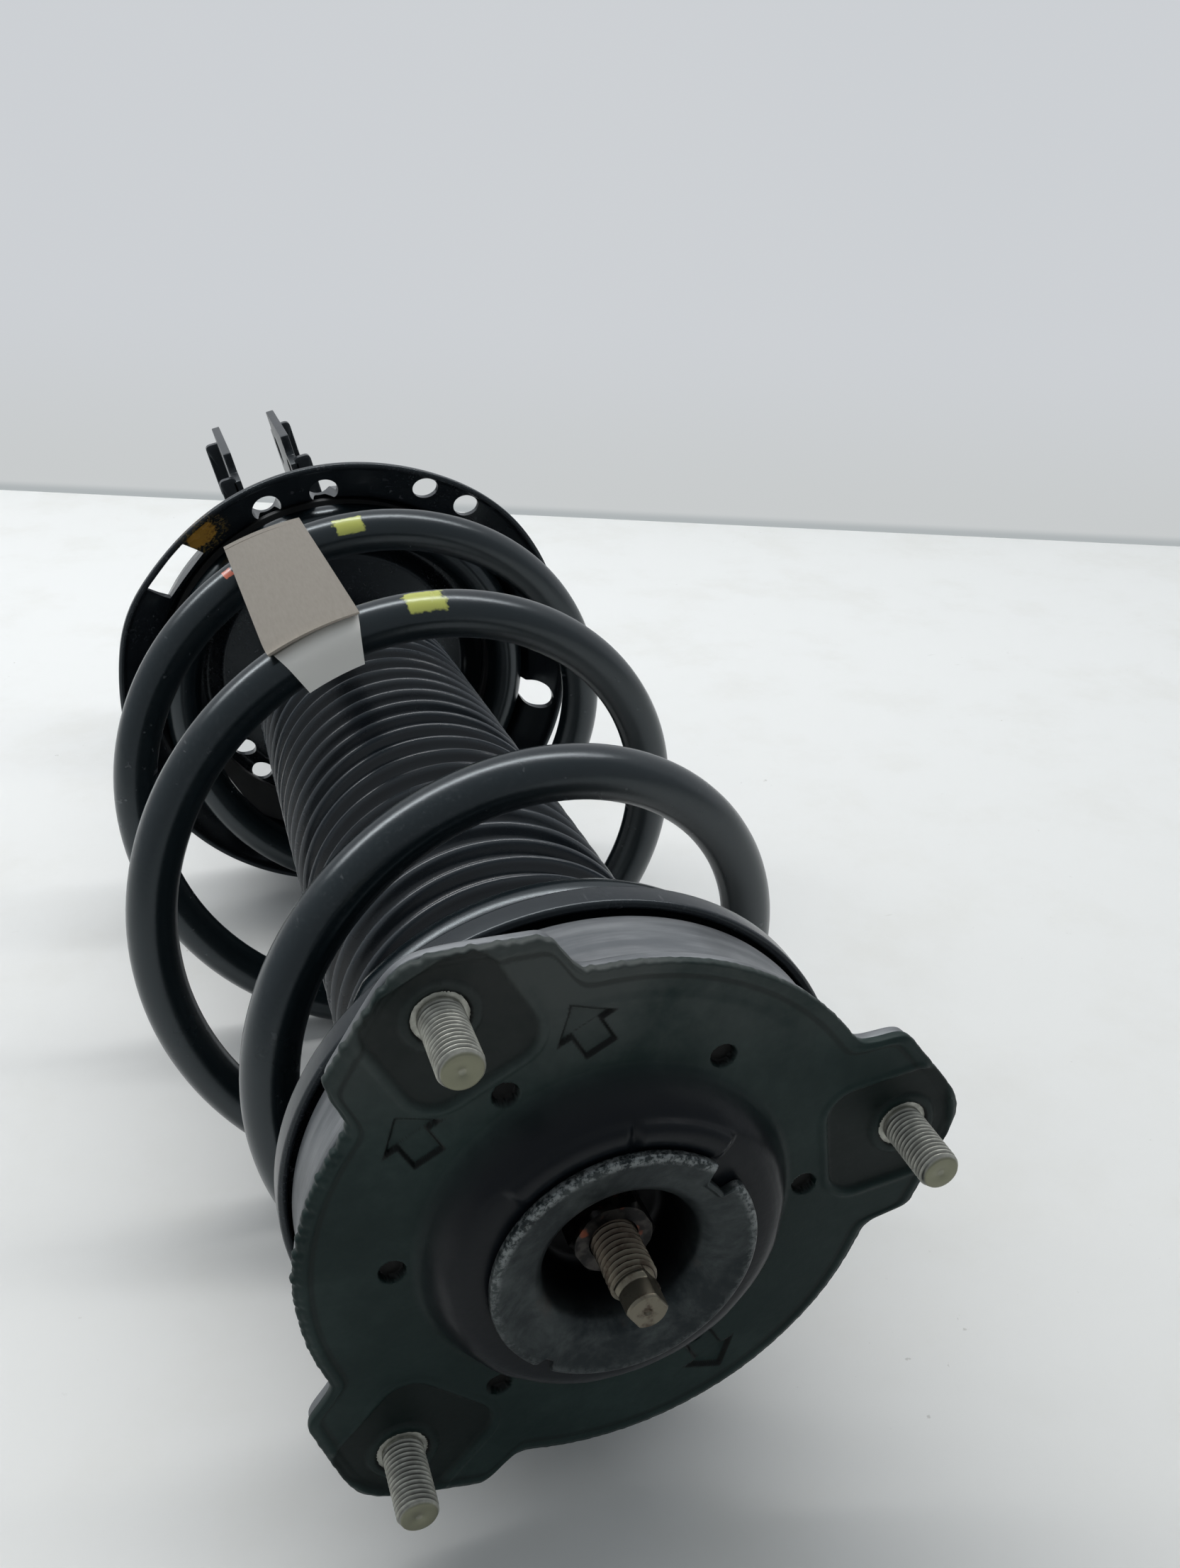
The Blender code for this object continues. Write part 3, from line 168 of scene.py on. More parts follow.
# %% Rounded profiles
def rounded(corners, reach, closed=True, steps=5):
    """Cuts each corner back by reach, at most 45% of its shorter side, and joins the cuts
    with the curve (1-t)^2 a + 2t(1-t) corner + t^2 b."""
    corners = np.asarray(corners, float)
    back = np.roll(corners, 1, axis=0) - corners
    on = np.roll(corners, -1, axis=0) - corners
    back_length = np.linalg.norm(back, axis=-1, keepdims=True)
    on_length = np.linalg.norm(on, axis=-1, keepdims=True)
    cut = np.minimum(reach, 0.45 * np.minimum(back_length, on_length))
    start = corners + back / back_length * cut
    end = corners + on / on_length * cut
    t = np.linspace(0, 1, steps).reshape((1, steps) + (1,) * (corners.ndim - 1))
    start, end, middle = start[:, None], end[:, None], corners[:, None]
    curve = (1 - t) ** 2 * start + 2 * t * (1 - t) * middle + t**2 * end
    if closed:
        return curve.reshape((-1,) + corners.shape[1:])
    inner = curve[1:-1].reshape((-1,) + corners.shape[1:])
    return np.concatenate([corners[:1], inner, corners[-1:]])


def turned(name, corners, finish, body, stands_for=(), reach=0.6, columns=144, steps=5, **options):
    """Spins (radius, station) corners, in millimetres, round the strut's axis. A profile
    that starts on the axis also ends there; any other closes on itself as a ring."""
    corners = np.asarray(corners, float)
    closed = corners[0, 0] > 0
    profile = rounded(corners, reach, closed, steps) * MM
    points = place(profile[:, :1], round_angles(columns)[None, :], profile[:, 1:])
    return surface(name, points, finish, body, stands_for, wrap=(closed, True), **options)


def spread(rows, angle):
    """Spreads (radius, station) rows, each value a number or one for every angle, to an array
    of (row, angle, 2)."""
    flat = 0 * angle
    return np.array([np.stack([radius + flat, along + flat], axis=-1) for radius, along in rows])


def pressed(name, corners, angle, reach, finish, body, stands_for, steps=5):
    """A ring whose profile, from spread(), changes round the strut's axis."""
    profile = rounded(corners, reach, steps=steps) * MM
    points = place(profile[..., 0], angle[None, :], profile[..., 1])
    return surface(name, points, finish, body, stands_for)


def carve(piece, cutters):
    """Cuts closed meshes from a piece with exact Booleans, and keeps the result as its mesh."""
    helpers = []
    for number, cutter in enumerate(cutters):
        helper = bpy.data.objects.new(f"{piece.name}_cutter_{number}", cutter)
        bpy.context.collection.objects.link(helper)
        modifier = piece.modifiers.new(helper.name, "BOOLEAN")
        modifier.operation, modifier.solver, modifier.object = "DIFFERENCE", "EXACT", helper
        helpers.append(helper)
    bake_modifiers(piece)
    for helper in helpers:
        bpy.data.objects.remove(helper, do_unlink=True)


def bake_modifiers(piece, sharp=35.0):
    bpy.context.view_layer.update()
    evaluated = piece.evaluated_get(bpy.context.evaluated_depsgraph_get())
    mesh = bpy.data.meshes.new_from_object(evaluated)
    piece.modifiers.clear()
    piece.data = mesh
    mesh.shade_smooth()
    mesh.set_sharp_from_angle(angle=np.radians(sharp))


def cutter(built, turn, where):
    """The closed mesh of a cutter, turned about the origin and then moved."""
    bmesh.ops.rotate(built, cent=(0, 0, 0), matrix=turn, verts=built.verts)
    bmesh.ops.translate(built, vec=Vector(where), verts=built.verts)
    mesh = bpy.data.meshes.new("cutter")
    built.to_mesh(mesh)
    built.free()
    return mesh


def cylinder_cutter(centre, direction, radius, length, sides=48):
    built = bmesh.new()
    size = {"segments": sides, "radius1": radius, "radius2": radius, "depth": length}
    bmesh.ops.create_cone(built, cap_ends=True, **size)
    turn = Vector((0, 0, 1)).rotation_difference(Vector(direction)).to_matrix()
    return cutter(built, turn, centre)


# %% [markdown]
# ## Shader sums in Python
#
# A material is a small program, and it reads best as one. `Wire` holds a shader socket, and
# adding or multiplying wires adds Math nodes behind the scenes. `Finish` owns one material
# and makes any other node. Patterns read Object coordinates, which are world metres here
# because every piece sits at the origin, or the piece's own UV map where they follow it.

# %% Wires and finishes
class Wire:
    def __init__(self, socket):
        self.socket = socket

    def math(self, operation, other=None, swap=False, clamp=False):
        node = self.socket.id_data.nodes.new("ShaderNodeMath")
        node.operation, node.use_clamp = operation, clamp
        terms = [self] if other is None else [self, other]
        for slot, term in zip(node.inputs, terms[::-1] if swap else terms):
            plug(slot, term)
        return Wire(node.outputs[0])

    def __add__(self, other):
        return self.math("ADD", other)

    __radd__ = __add__

    def __sub__(self, other):
        return self.math("SUBTRACT", other)

    def __rsub__(self, other):
        return self.math("SUBTRACT", other, swap=True)

    def __mul__(self, other):
        return self.math("MULTIPLY", other)

    __rmul__ = __mul__

    def at_least(self, other):
        return self.math("MAXIMUM", other)

    def size(self):
        return self.math("ABSOLUTE")


def plug(slot, value):
    if isinstance(value, Wire):
        slot.id_data.links.new(value.socket, slot)
    else:
        slot.default_value = value


class Finish:
    def __init__(self, name, roughness=0.5, metallic=0.0, **constants):
        self.material = bpy.data.materials.new(name)
        self.material.use_nodes = True
        self.tree = self.material.node_tree
        self.shader = self.tree.nodes["Principled BSDF"]
        self.set(**{"Roughness": roughness, "Metallic": metallic}, **constants)
        self.coordinates = self.node("TexCoord", output="Object")

    def set(self, **values):
        for name, value in values.items():
            plug(self.shader.inputs[name.replace("_", " ")], value)

    def node(self, kind, settings=None, inputs=None, output=0):
        """Adds one node: its settings first, then its sockets, by name or number."""
        node = self.tree.nodes.new("ShaderNode" + kind)
        for key, value in (settings or {}).items():
            setattr(node, key, value)
        for key, value in (inputs or {}).items():
            plug(node.inputs[key], value)
        return Wire(node.outputs[output])

    def noise(self, scale, detail=4.0, roughness=0.55, where=None, distortion=0.0):
        inputs = {"Vector": where or self.coordinates, "Scale": scale, "Detail": detail}
        inputs.update({"Roughness": roughness, "Distortion": distortion})
        return self.node("TexNoise", inputs=inputs, output=0)

    def stretched(self, scale_x, scale_y, scale_z, where=None):
        inputs = {"Vector": where or self.coordinates, "Scale": (scale_x, scale_y, scale_z)}
        return self.node("Mapping", inputs=inputs)

    def rise(self, value, low, high, to_low=0.0, to_high=1.0):
        """A soft step from one level to another as the value goes from low to high."""
        inputs = {"Value": value, "From Min": low, "From Max": high, "To Min": to_low, "To Max": to_high}
        return self.node("MapRange", {"interpolation_type": "SMOOTHSTEP"}, inputs)

    def patches(self, low, high, scale, detail=4.0, roughness=0.55, where=None, distortion=0.0):
        """1 where the noise is above high, 0 where it is below low."""
        return self.rise(self.noise(scale, detail, roughness, where, distortion), low, high)

    def mix(self, share, first, second):
        """A colour between two, which are given as three numbers or as wires."""
        first, second = ((*c, 1.0) if isinstance(c, tuple) else c for c in (first, second))
        return self.node("Mix", {"data_type": "RGBA"}, {0: share, 6: first, 7: second}, output=2)

    def colour(self):
        """The present base colour, as a wire or as three numbers."""
        slot = self.shader.inputs["Base Color"]
        return Wire(slot.links[0].from_socket) if slot.is_linked else tuple(slot.default_value)[:3]

    def paint(self, colour, share=None):
        """Lays a colour over the present one, in full or by a share from 0 to 1."""
        if share is not None:
            colour = self.mix(share, self.colour(), colour)
        self.set(Base_Color=(*colour, 1.0) if isinstance(colour, tuple) else colour)

    def bump(self, height, strength, distance=0.001):
        inputs = {"Height": height, "Strength": strength, "Distance": distance}
        self.set(Normal=self.node("Bump", inputs=inputs))

    def seen_as_written(self, colour):
        """For a backdrop: the camera, and reflections of it, see the colour itself, however
        little light reaches it. All other light is as usual."""
        glow = self.node("Emission", inputs={"Color": colour, "Strength": 1.0})
        kinds = ("Camera", "Glossy", "Transmission")
        seen = [self.node("LightPath", output=f"Is {kind} Ray") for kind in kinds]
        share = seen[0].at_least(seen[1]).at_least(seen[2])
        both = self.node("MixShader", inputs={0: share, 1: Wire(self.shader.outputs[0]), 2: glow})
        plug(self.tree.nodes["Material Output"].inputs["Surface"], both)

    def part(self, axis, where=None):
        """One coordinate, X, Y or Z."""
        return self.node("SeparateXYZ", inputs={"Vector": where or self.coordinates}, output=axis)

    def uv(self):
        return self.node("UVMap", {"uv_map": "UVMap"})

    def attribute(self, name):
        return self.node("Attribute", {"attribute_name": name}, output="Fac")


def mottled(name, first, second, scale, detail=4.0, **constants):
    """A finish whose colour wanders between two."""
    finish = Finish(name, **constants)
    finish.paint(finish.mix(finish.noise(scale, detail), first, second))
    return finish


# %% [markdown]
# ## The camera and the table
#
# The camera comes from a fit to the photograph: points whose real places are known, such as
# the stud tips, the rim of the lower seat and the turns of the spring, were matched to their
# pixels. Blender wants a matrix whose columns point right, up and backwards. The lens in
# millimetres is the fitted focal length in pixels times the sensor's width over the image's
# long side.

# %% Camera
CAMERA_PLACE = np.array([AXIS_ACROSS - 0.091438, FACE_Y - 0.226243, AXIS_HEIGHT + 0.234798])
CAMERA_RIGHT = np.array([0.946340, -0.320319, 0.042853])
CAMERA_UP = np.array([0.108135, 0.438810, 0.892050])
CAMERA_FORWARD = np.array([0.304545, 0.839548, -0.449901])
FOCAL_PIXELS, LONG_SIDE, SENSOR = 2011.12, 2212, 36.0

camera_data = bpy.data.cameras.new("camera")
camera_data.sensor_width = SENSOR
camera_data.lens = FOCAL_PIXELS * SENSOR / LONG_SIDE
camera_data.clip_start, camera_data.clip_end = 0.01, 50.0
camera = bpy.data.objects.new("camera", camera_data)
bpy.context.collection.objects.link(camera)
axes = Matrix(np.stack([CAMERA_RIGHT, CAMERA_UP, -CAMERA_FORWARD], axis=1).tolist())
camera.matrix_world = Matrix.Translation(Vector(CAMERA_PLACE)) @ axes.to_4x4()
bpy.context.scene.camera = camera
print("lens", round(camera_data.lens, 2), "mm")

# %% [markdown]
# The table is a plain pale board that ends at a wall. Where the far edge of the board meets
# the wall, the photograph shows one straight line, so that line was traced on the floor and
# both planes are built from it. The board carries faint smudges, as a workshop table does.

# %% Table and wall
table_finish = Finish("pale_table", roughness=0.5, Specular_IOR_Level=0.3)
# painted light: the board is made paler towards the far side, which the lamps behind light more
far_side_light = table_finish.rise(table_finish.part("Y"), -0.45, 0.45)
table_finish.paint(table_finish.mix(far_side_light, (0.700, 0.702, 0.685), (0.755, 0.762, 0.752)))
table_finish.paint((0.66, 0.655, 0.62), table_finish.patches(0.46, 0.70, 14.0, 7.0, 0.65) * 0.35)
along = table_finish.stretched(26.0, 210.0, 1.0)
scratch = table_finish.patches(0.70, 0.74, 1.0, where=along) * table_finish.patches(0.55, 0.62, 6.0)
table_finish.paint((0.42, 0.40, 0.36), scratch * 0.45)
speck = table_finish.patches(0.70, 0.76, 230.0, 3.0) * table_finish.patches(0.52, 0.62, 11.0, 3.0)
table_finish.paint((0.34, 0.33, 0.30), speck * 0.5)

wall_finish = Finish("pale_wall", roughness=0.8)
wall_mottle = wall_finish.noise(3.0, 3.0) * 0.5
wall_finish.paint(wall_finish.mix(wall_mottle, (0.60, 0.625, 0.655), (0.64, 0.655, 0.675)))
up_wall = wall_finish.part("Z")
# The wall is a little darker over its lowest 16 cm, and a thin painted shadow line runs along its foot,
# where it meets the table.
wall_finish.paint((0.58, 0.60, 0.605), wall_finish.rise(up_wall, 0.0, 0.16, 1.0, 0.0))
wall_finish.paint((0.43, 0.46, 0.47), wall_finish.rise(up_wall, 0.002, 0.009, 1.0, 0.0))
wall_finish.seen_as_written(wall_finish.colour())

EDGE_LEFT = np.array([AXIS_ACROSS - 0.1656, FACE_Y + 0.9889, 0.0])
EDGE_RIGHT = np.array([AXIS_ACROSS + 0.7253, FACE_Y + 0.6657, 0.0])
edge_way = (EDGE_RIGHT - EDGE_LEFT) / np.linalg.norm(EDGE_RIGHT - EDGE_LEFT)
towards_camera = np.array([edge_way[1], -edge_way[0], 0.0])
edge_middle = (EDGE_LEFT + EDGE_RIGHT) / 2


def flat_stage(name, finish, way, low, high):
    """A plane through the table's far edge: its middle plus a times the edge's way plus b
    times the second way, for a in -4 to 4 metres and b between the two limits."""
    a, b = np.meshgrid([-4.0, 4.0], [low, high], indexing="ij")
    points = edge_middle + a[..., None] * edge_way + b[..., None] * way
    surface(name, points, finish, None, wrap=(False, False))


flat_stage("table", table_finish, towards_camera, 0.0, 4.0)
flat_stage("wall", wall_finish, np.array([0.0, 0.0, 1.0]), -0.01, 4.0)

# %% [markdown]
# ## Soft studio light
#
# The photograph is lit by ceiling tubes above and a little behind, in a room whose camera
# side is darker. So the black turns carry long pale streaks along their tops, and what faces
# the camera stays deep black. A wide lamp and a thin one, both long, make the streaks. The
# world gives the rest of the light, brighter from behind than from the front.

# %% Light
world = bpy.data.worlds.new("studio")
bpy.context.scene.world = world
world.use_nodes = True
world_nodes, world_links = world.node_tree.nodes, world.node_tree.links
background = world_nodes["Background"]
direction = world_nodes.new("ShaderNodeSeparateXYZ")
world_links.new(world_nodes.new("ShaderNodeTexCoord").outputs["Generated"], direction.inputs[0])
from_behind = world_nodes.new("ShaderNodeMapRange")
world_links.new(direction.outputs["Y"], from_behind.inputs["Value"])
for socket, value in {"From Min": -0.9, "From Max": 0.9, "To Min": 0.34, "To Max": 0.67}.items():
    from_behind.inputs[socket].default_value = value
background.inputs["Color"].default_value = (0.89, 0.95, 1.0, 1.0)
world_links.new(from_behind.outputs[0], background.inputs["Strength"])


def long_lamp(name, where, size, power):
    data = bpy.data.lights.new(name, "AREA")
    data.shape, data.size, data.size_y = "RECTANGLE", *size
    data.energy = power
    lamp = bpy.data.objects.new(name, data)
    bpy.context.collection.objects.link(lamp)
    lamp.location = where
    lamp.rotation_euler = (Vector(LIT) - Vector(where)).to_track_quat("-Z", "Y").to_euler()


LIT = (0.0, 0.2, 0.05)
long_lamp("ceiling", (0.05, 0.60, 1.5), (3.6, 0.60), 25.0)
long_lamp("tube", (0.05, 0.40, 1.5), (3.0, 0.08), 15.0)

view = bpy.context.scene.view_settings
view.view_transform = "Standard"

# %% [markdown]
# ## The black coating
#
# Spring and seats are coated black: a skin with a soft shine, a faint orange peel and pale
# scuffs where parts have rubbed. The scuffs are a stretched noise, cut off high so that only
# a few thin marks are left, and a fine dust lifts the black a little in patches.

# %% Black coating
def coated_black(name, base, shine, scuff=0.5, dust=0.25, gloss=0.5):
    finish = Finish(name, Specular_IOR_Level=gloss, Specular_Tint=(0.86, 0.95, 1.0, 1.0))
    worn = finish.patches(0.42, 0.72, 22.0, 5.0)
    marks = finish.patches(0.66, 0.74, 1.0, 3.0, where=finish.stretched(260.0, 40.0, 260.0))
    scuffed = marks * worn * scuff
    finish.paint(base)
    finish.paint((0.07, 0.075, 0.08), worn * finish.patches(0.5, 0.8, 900.0, 2.0) * dust)
    finish.paint((0.16, 0.165, 0.17), scuffed)
    finish.set(Roughness=finish.noise(30.0) * 0.14 + (shine - 0.07) + scuffed * 0.3)
    finish.bump(finish.noise(520.0, 2.0), 0.05, 0.0004)
    return finish


SEAT_COAT = {"base": (0.0075, 0.0098, 0.0125), "shine": 0.26, "scuff": 0.7, "dust": 0.5}
seat_black = coated_black("seat_black", **SEAT_COAT)
tube_black = coated_black("tube_black", (0.006, 0.0068, 0.0078), 0.28)
bracket_black = coated_black("bracket_black", (0.014, 0.016, 0.019), 0.30, scuff=1.0, dust=0.7)

# %% [markdown]
# ## The coil spring
#
# The spring is one bar wound warm: the end turns lie nearly flat in their seats and the turns
# between climb evenly. The centre line is a helix whose radius and climb change with the turn
# number, and the bar is a circle carried along it. The middle turns also stand off the axis
# to one side, which takes side load off the damper's rod. At each point the circle lies
# across the bar, between the direction away from the axis and the one square to it, so the
# tube never twists. Where turns lie on the table they have a flat, as the CAD piece has.

# %% Centre line of the spring
WIRE = 7.25 * MM
COIL_START = 44.45 * MM
FIRST_TURN, LAST_TURN = -0.90, 3.65
BOW = np.array([-4.8, 0.0, 1.5]) * MM


def climb(x):
    """The area under the smooth step from 0 to x."""
    within = np.clip(x, 0.0, 1.0)
    return within**3 - within**4 / 2 + np.maximum(x - 1.0, 0.0)


def coil_station(turn):
    """6 mm a turn, plus 84 mm more a turn while the climb is on."""
    on = climb((turn + 0.31) / 0.5) - climb((turn - 2.77) / 0.5)
    return COIL_START + 6 * MM * (turn - FIRST_TURN) + 84 * MM * 0.5 * on


def swell(turn):
    return smooth_step((turn + 0.46) / 1.2)


def taper(turn):
    return smooth_step((turn - 2.50) / 0.5)


def bowed(turn):
    """How much of the bow each turn has: all of it in the middle, none in the seats."""
    return swell(turn) - smooth_step((turn - 2.0) / 0.38)


def coil_radius(turn):
    """56.5 mm in the upper seat, 85.5 mm between, 68 mm in the lower seat."""
    return (56.5 + 29.0 * swell(turn) - 17.5 * taper(turn)) * MM


def coil_angle(turn):
    return np.radians(231.0) - 2 * np.pi * (turn - FIRST_TURN)


def coil_centre(turn):
    """The helix, its swollen middle set off to one side of the axis by the bow."""
    bow = bowed(turn)[..., None] * BOW
    return place(coil_radius(turn), coil_angle(turn), coil_station(turn)) + bow


def coil_surface(turn, around, wire):
    """Centre line plus wire times (n cos w + b sin w); n is away from the axis, square to
    the bar, and b is the bar's direction crossed with n."""
    centre = coil_centre(turn)
    along = np.gradient(centre, axis=0)
    along /= np.linalg.norm(along, axis=1, keepdims=True)
    out = outward(coil_angle(turn))
    normal = out - np.sum(out * along, axis=1, keepdims=True) * along
    normal /= np.linalg.norm(normal, axis=1, keepdims=True)
    side = np.cross(along, normal)
    cosine, sine = np.cos(around)[None, :, None], np.sin(around)[None, :, None]
    ring = normal[:, None] * cosine + side[:, None] * sine
    return centre[:, None] + np.asarray(wire)[:, None, None] * ring


turns = np.linspace(FIRST_TURN, LAST_TURN, 680)
ends = np.minimum(turns - FIRST_TURN, LAST_TURN - turns)
bar = WIRE * np.sqrt(np.clip(ends / 0.0025, 0.0, 1.0) * 0.25 + 0.75)
bar[0] = bar[-1] = 0.0
bar[1] = bar[-2] = WIRE * 0.85
turns[1], turns[-2] = turns[0] + 1e-5, turns[-1] - 1e-5
coil_points = coil_surface(turns, round_angles(32) + np.pi, bar)
coil_points[..., 2] = np.maximum(coil_points[..., 2], 0.0)

# %% [markdown]
# The maker's daubs of yellow paint, and one of orange, sit on the outer side of two turns.
# They follow the bar, so their edges are set in the UV map: the first coordinate counts
# along the bar and the second round it. A noise eats into the edges, as brushed paint has.

# %% Paint daubs on the spring
spring_finish = coated_black("painted_spring", (0.0028, 0.0062, 0.0080), 0.25, gloss=0.68)


def daub(finish, turn, half_turn, around, half_around):
    """1 inside a ragged patch on the bar, 0 outside. The places round the bar are degrees
    from outward towards the mount; the UV map starts them opposite, on the inner side."""
    where = finish.uv()
    ragged = finish.noise(420.0, 3.0) * 0.9 - 0.45
    share = (turn - FIRST_TURN) / (LAST_TURN - FIRST_TURN)
    half_share = half_turn / (LAST_TURN - FIRST_TURN)
    along = (finish.part("X", where) - share).size() * (1 / half_share) + ragged
    across = (finish.part("Y", where) - (around + 180) / 360).size() * (360 / half_around)
    across = across + ragged * 0.6
    return finish.rise(along.at_least(across), 1.05, 0.85)


near_daub = daub(spring_finish, 1.2415, 0.0108, 29.0, 33.0)
far_daub = daub(spring_finish, 2.2235, 0.0088, 47.0, 25.0)
orange_daub = daub(spring_finish, 2.1482, 0.0028, 31.0, 15.0)
spring_finish.paint((0.44, 0.46, 0.095), near_daub.at_least(far_daub))
spring_finish.paint((0.66, 0.16, 0.09), orange_daub)

spring = surface(
    "coil_spring_bar", coil_points, spring_finish, "strut_body", ("coil_spring",), wrap=(False, True)
)


def squeeze(piece):
    """Gives the piece a mesh of its own."""
    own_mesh(piece)


squeeze(spring)

# %% [markdown]
# ## The ribbed boot
#
# The boot is blow-moulded: thin crests stand between rounded valleys. Its outside is a wave
# along the axis whose crest is narrower than its valley, which comes from raising a cosine
# to a power. The whole sleeve tapers a little from the mount to the lower seat, and the
# crests are painted paler, a painted highlight along each rib.

# %% Boot
boot_finish = Finish("boot_rubber", roughness=0.36)
bloom = boot_finish.patches(0.4, 0.75, 35.0, 5.0)
boot_finish.paint(boot_finish.mix(bloom, (0.0022, 0.0046, 0.0074), (0.0050, 0.0090, 0.0125)))
# painted highlight: the crests are painted paler, so that each rib shows a bright line
boot_finish.paint((0.026, 0.033, 0.040), boot_finish.rise(boot_finish.attribute("wear"), 0.55, 1.0))
boot_finish.set(Roughness=boot_finish.noise(60.0) * 0.14 + 0.20)
boot_finish.bump(boot_finish.noise(700.0, 2.0), 0.08, 0.0004)

RIB_START, RIB_PITCH, RIBS = 43.8, 10.4, 25
station = np.linspace(RIB_START, RIB_START + RIB_PITCH * RIBS, RIBS * 16 + 1)
phase = (station - RIB_START) / RIB_PITCH * 2 * np.pi
share = (station - RIB_START) / (RIB_PITCH * RIBS)
crest = 47.35 + (40.5 - 47.35) * share
wave = ((1 - np.cos(phase)) / 2) ** 1.8
ribbed = np.stack([crest - 4.0 + 4.0 * wave, station], axis=1)
top = [(46.3, 33.4), (47.3, 35.4), (46.5, 39.0), (43.8, 42.0)]
cuff = [(36.4, 312.5), (31.6, 320.0), (31.4, 325.7), (28.7, 325.7), (28.7, 315.7)]
bore = [(33.5, 309.7), (33.5, 33.4)]
head, foot = rounded(top, 1.5, closed=False), rounded(cuff + bore, 0.5, closed=False)
outline = np.concatenate([head, ribbed, foot])
crest_highlight = np.concatenate([np.zeros(len(head)), wave, np.zeros(len(foot))])[:, None]
points = place(outline[:, :1] * MM, round_angles(160)[None, :], outline[:, 1:] * MM)
boot = surface(
    "boot_sleeve", points, boot_finish, "strut_body", ("dust_boot",), wear=crest_highlight, sharp=60.0
)
squeeze(boot)

# %% [markdown]
# ## The lower seat
#
# A deep dish pressed from sheet holds the spring's last turn. Outside it a short wall and a
# broad flange with radial ribs lead to the rim. The base is centred on the tube, but the rim
# is a circle centred above it and is wider on two sides, so the profile changes all the way
# round. Holes drain it; they and one window are cut afterwards.

# %% Lower seat
RIM_RADIUS, RIM_RISE = (94.5 + 89.45) / 2, (94.5 - 89.45) / 2


def rim_reach(angle):
    """Distance from the strut's axis to a circle whose centre lies above the axis:
    -d cos a + sqrt((d cos a)^2 + R^2 - d^2)."""
    lift = RIM_RISE * np.cos(angle)
    wider = sum(
        more * np.exp(-(((np.degrees(angle) - middle) / width) ** 2))
        for more, middle, width in ((2.8, 137.0, 22.0), (1.6, 246.0, 12.0))
    )
    return -lift + np.sqrt(lift**2 + RIM_RADIUS**2 - RIM_RISE**2) + wider


seat_angle = round_angles(384)
rim = rim_reach(seat_angle)
rib = 2.2 * np.cos(6 * (seat_angle - np.radians(178.0))) ** 8
BASE, FLANGE, RIM_STATION, SHEET = 341.85, 328.5, 315.85, 2.6
WALL, WALL_BACK = 78.2, 80.4
dish = [
    (25.8, BASE - 26),
    (28.4, BASE - 26),
    (28.4, BASE - 7),
    (51.05, BASE - 4.5),
    (57.05, BASE),
    (76.4, BASE),
    (WALL, FLANGE),
    (0.6 * WALL + 0.4 * rim, 0.6 * FLANGE + 0.4 * (RIM_STATION + 3) - rib),
    (rim - 2.6, RIM_STATION + 3),
    (rim - 2.2, RIM_STATION),
    (rim, RIM_STATION),
    (rim, RIM_STATION + SHEET + 0.4),
    (rim - 1.0, RIM_STATION + SHEET + 1.0),
    (0.6 * WALL_BACK + 0.4 * rim, 0.6 * FLANGE + 0.4 * (RIM_STATION + 3) + SHEET - rib),
    (WALL_BACK, FLANGE + SHEET),
    (78.6, BASE + SHEET),
    (55.85, BASE + SHEET),
    (49.85, BASE - 4.5 + SHEET),
    (25.8, BASE - 7 + SHEET),
]
rust_spot = place(87.0 * MM, np.radians(219.5), 321 * MM)
rusty_black = coated_black("rusty_black", **SEAT_COAT)
spot = {0: rusty_black.coordinates, 1: tuple(rust_spot)}
to_spot = rusty_black.node("VectorMath", {"operation": "DISTANCE"}, spot, output="Value")
torn_edge = rusty_black.noise(330.0, 4.0, 0.7) * 0.007
peeled = rusty_black.rise(to_spot + torn_edge, 0.0104, 0.0098)
speckled = rusty_black.patches(0.50, 0.58, 900.0, 3.0, 0.7)
speckled = speckled * rusty_black.rise(to_spot + torn_edge, 0.0165, 0.012)
spot_x = float(rust_spot[0])
burnt = rusty_black.rise(rusty_black.part("X"), spot_x - 0.002, spot_x + 0.007)
rust_colour = rusty_black.mix(speckled * burnt, (0.36, 0.19, 0.032), (0.05, 0.03, 0.012))
rusty_black.paint((0.16, 0.11, 0.03), speckled * 0.7)
rusty_black.paint(rust_colour, peeled)
lower_seat = pressed(
    "lower_seat_dish", spread(dish, seat_angle), seat_angle, 1.6, rusty_black, "strut_body",
    ("lower_spring_seat",),
)

CUT_STATION, CUT_LENGTH = 330 * MM, 60 * MM
HOLES = [  # degrees, millimetres from the axis, radius
    (81.0, 82.2, 6.3), (147.0, 88.6, 4.8), (158.7, 87.9, 4.8), (185.4, 81.8, 5.6),
    (201.7, 81.4, 5.8), (305.8, 54.0, 4.5), (320.3, 57.5, 4.5),
]
holes = [
    cylinder_cutter(place(far * MM, np.radians(angle), CUT_STATION), (0, 1, 0), size * MM, CUT_LENGTH)
    for angle, far, size in HOLES
]


def window_cutter(angle, width, low, high):
    """A block across the dish's wall, from the low to the high radius."""
    built = bmesh.new()
    bmesh.ops.create_cube(built, size=1.0)
    bmesh.ops.scale(built, vec=(width, CUT_LENGTH, high - low), verts=built.verts)
    bmesh.ops.translate(built, vec=(0, 0, -(low + high) / 2), verts=built.verts)
    return cutter(built, Matrix.Rotation(-angle, 3, "Y"), place(0.0, 0.0, CUT_STATION))


holes.append(window_cutter(np.radians(231.0), 22.3 * MM, 80 * MM, 91 * MM))
carve(lower_seat, holes)
print("lower seat faces", len(lower_seat.data.polygons))

# %% [markdown]
# ## The upper seat and the rubber pads
#
# The upper seat is a smaller pressing: hub, flat ring and a rim that stands up towards the
# mount. Rubber pads keep the end turns from grinding on the steel.

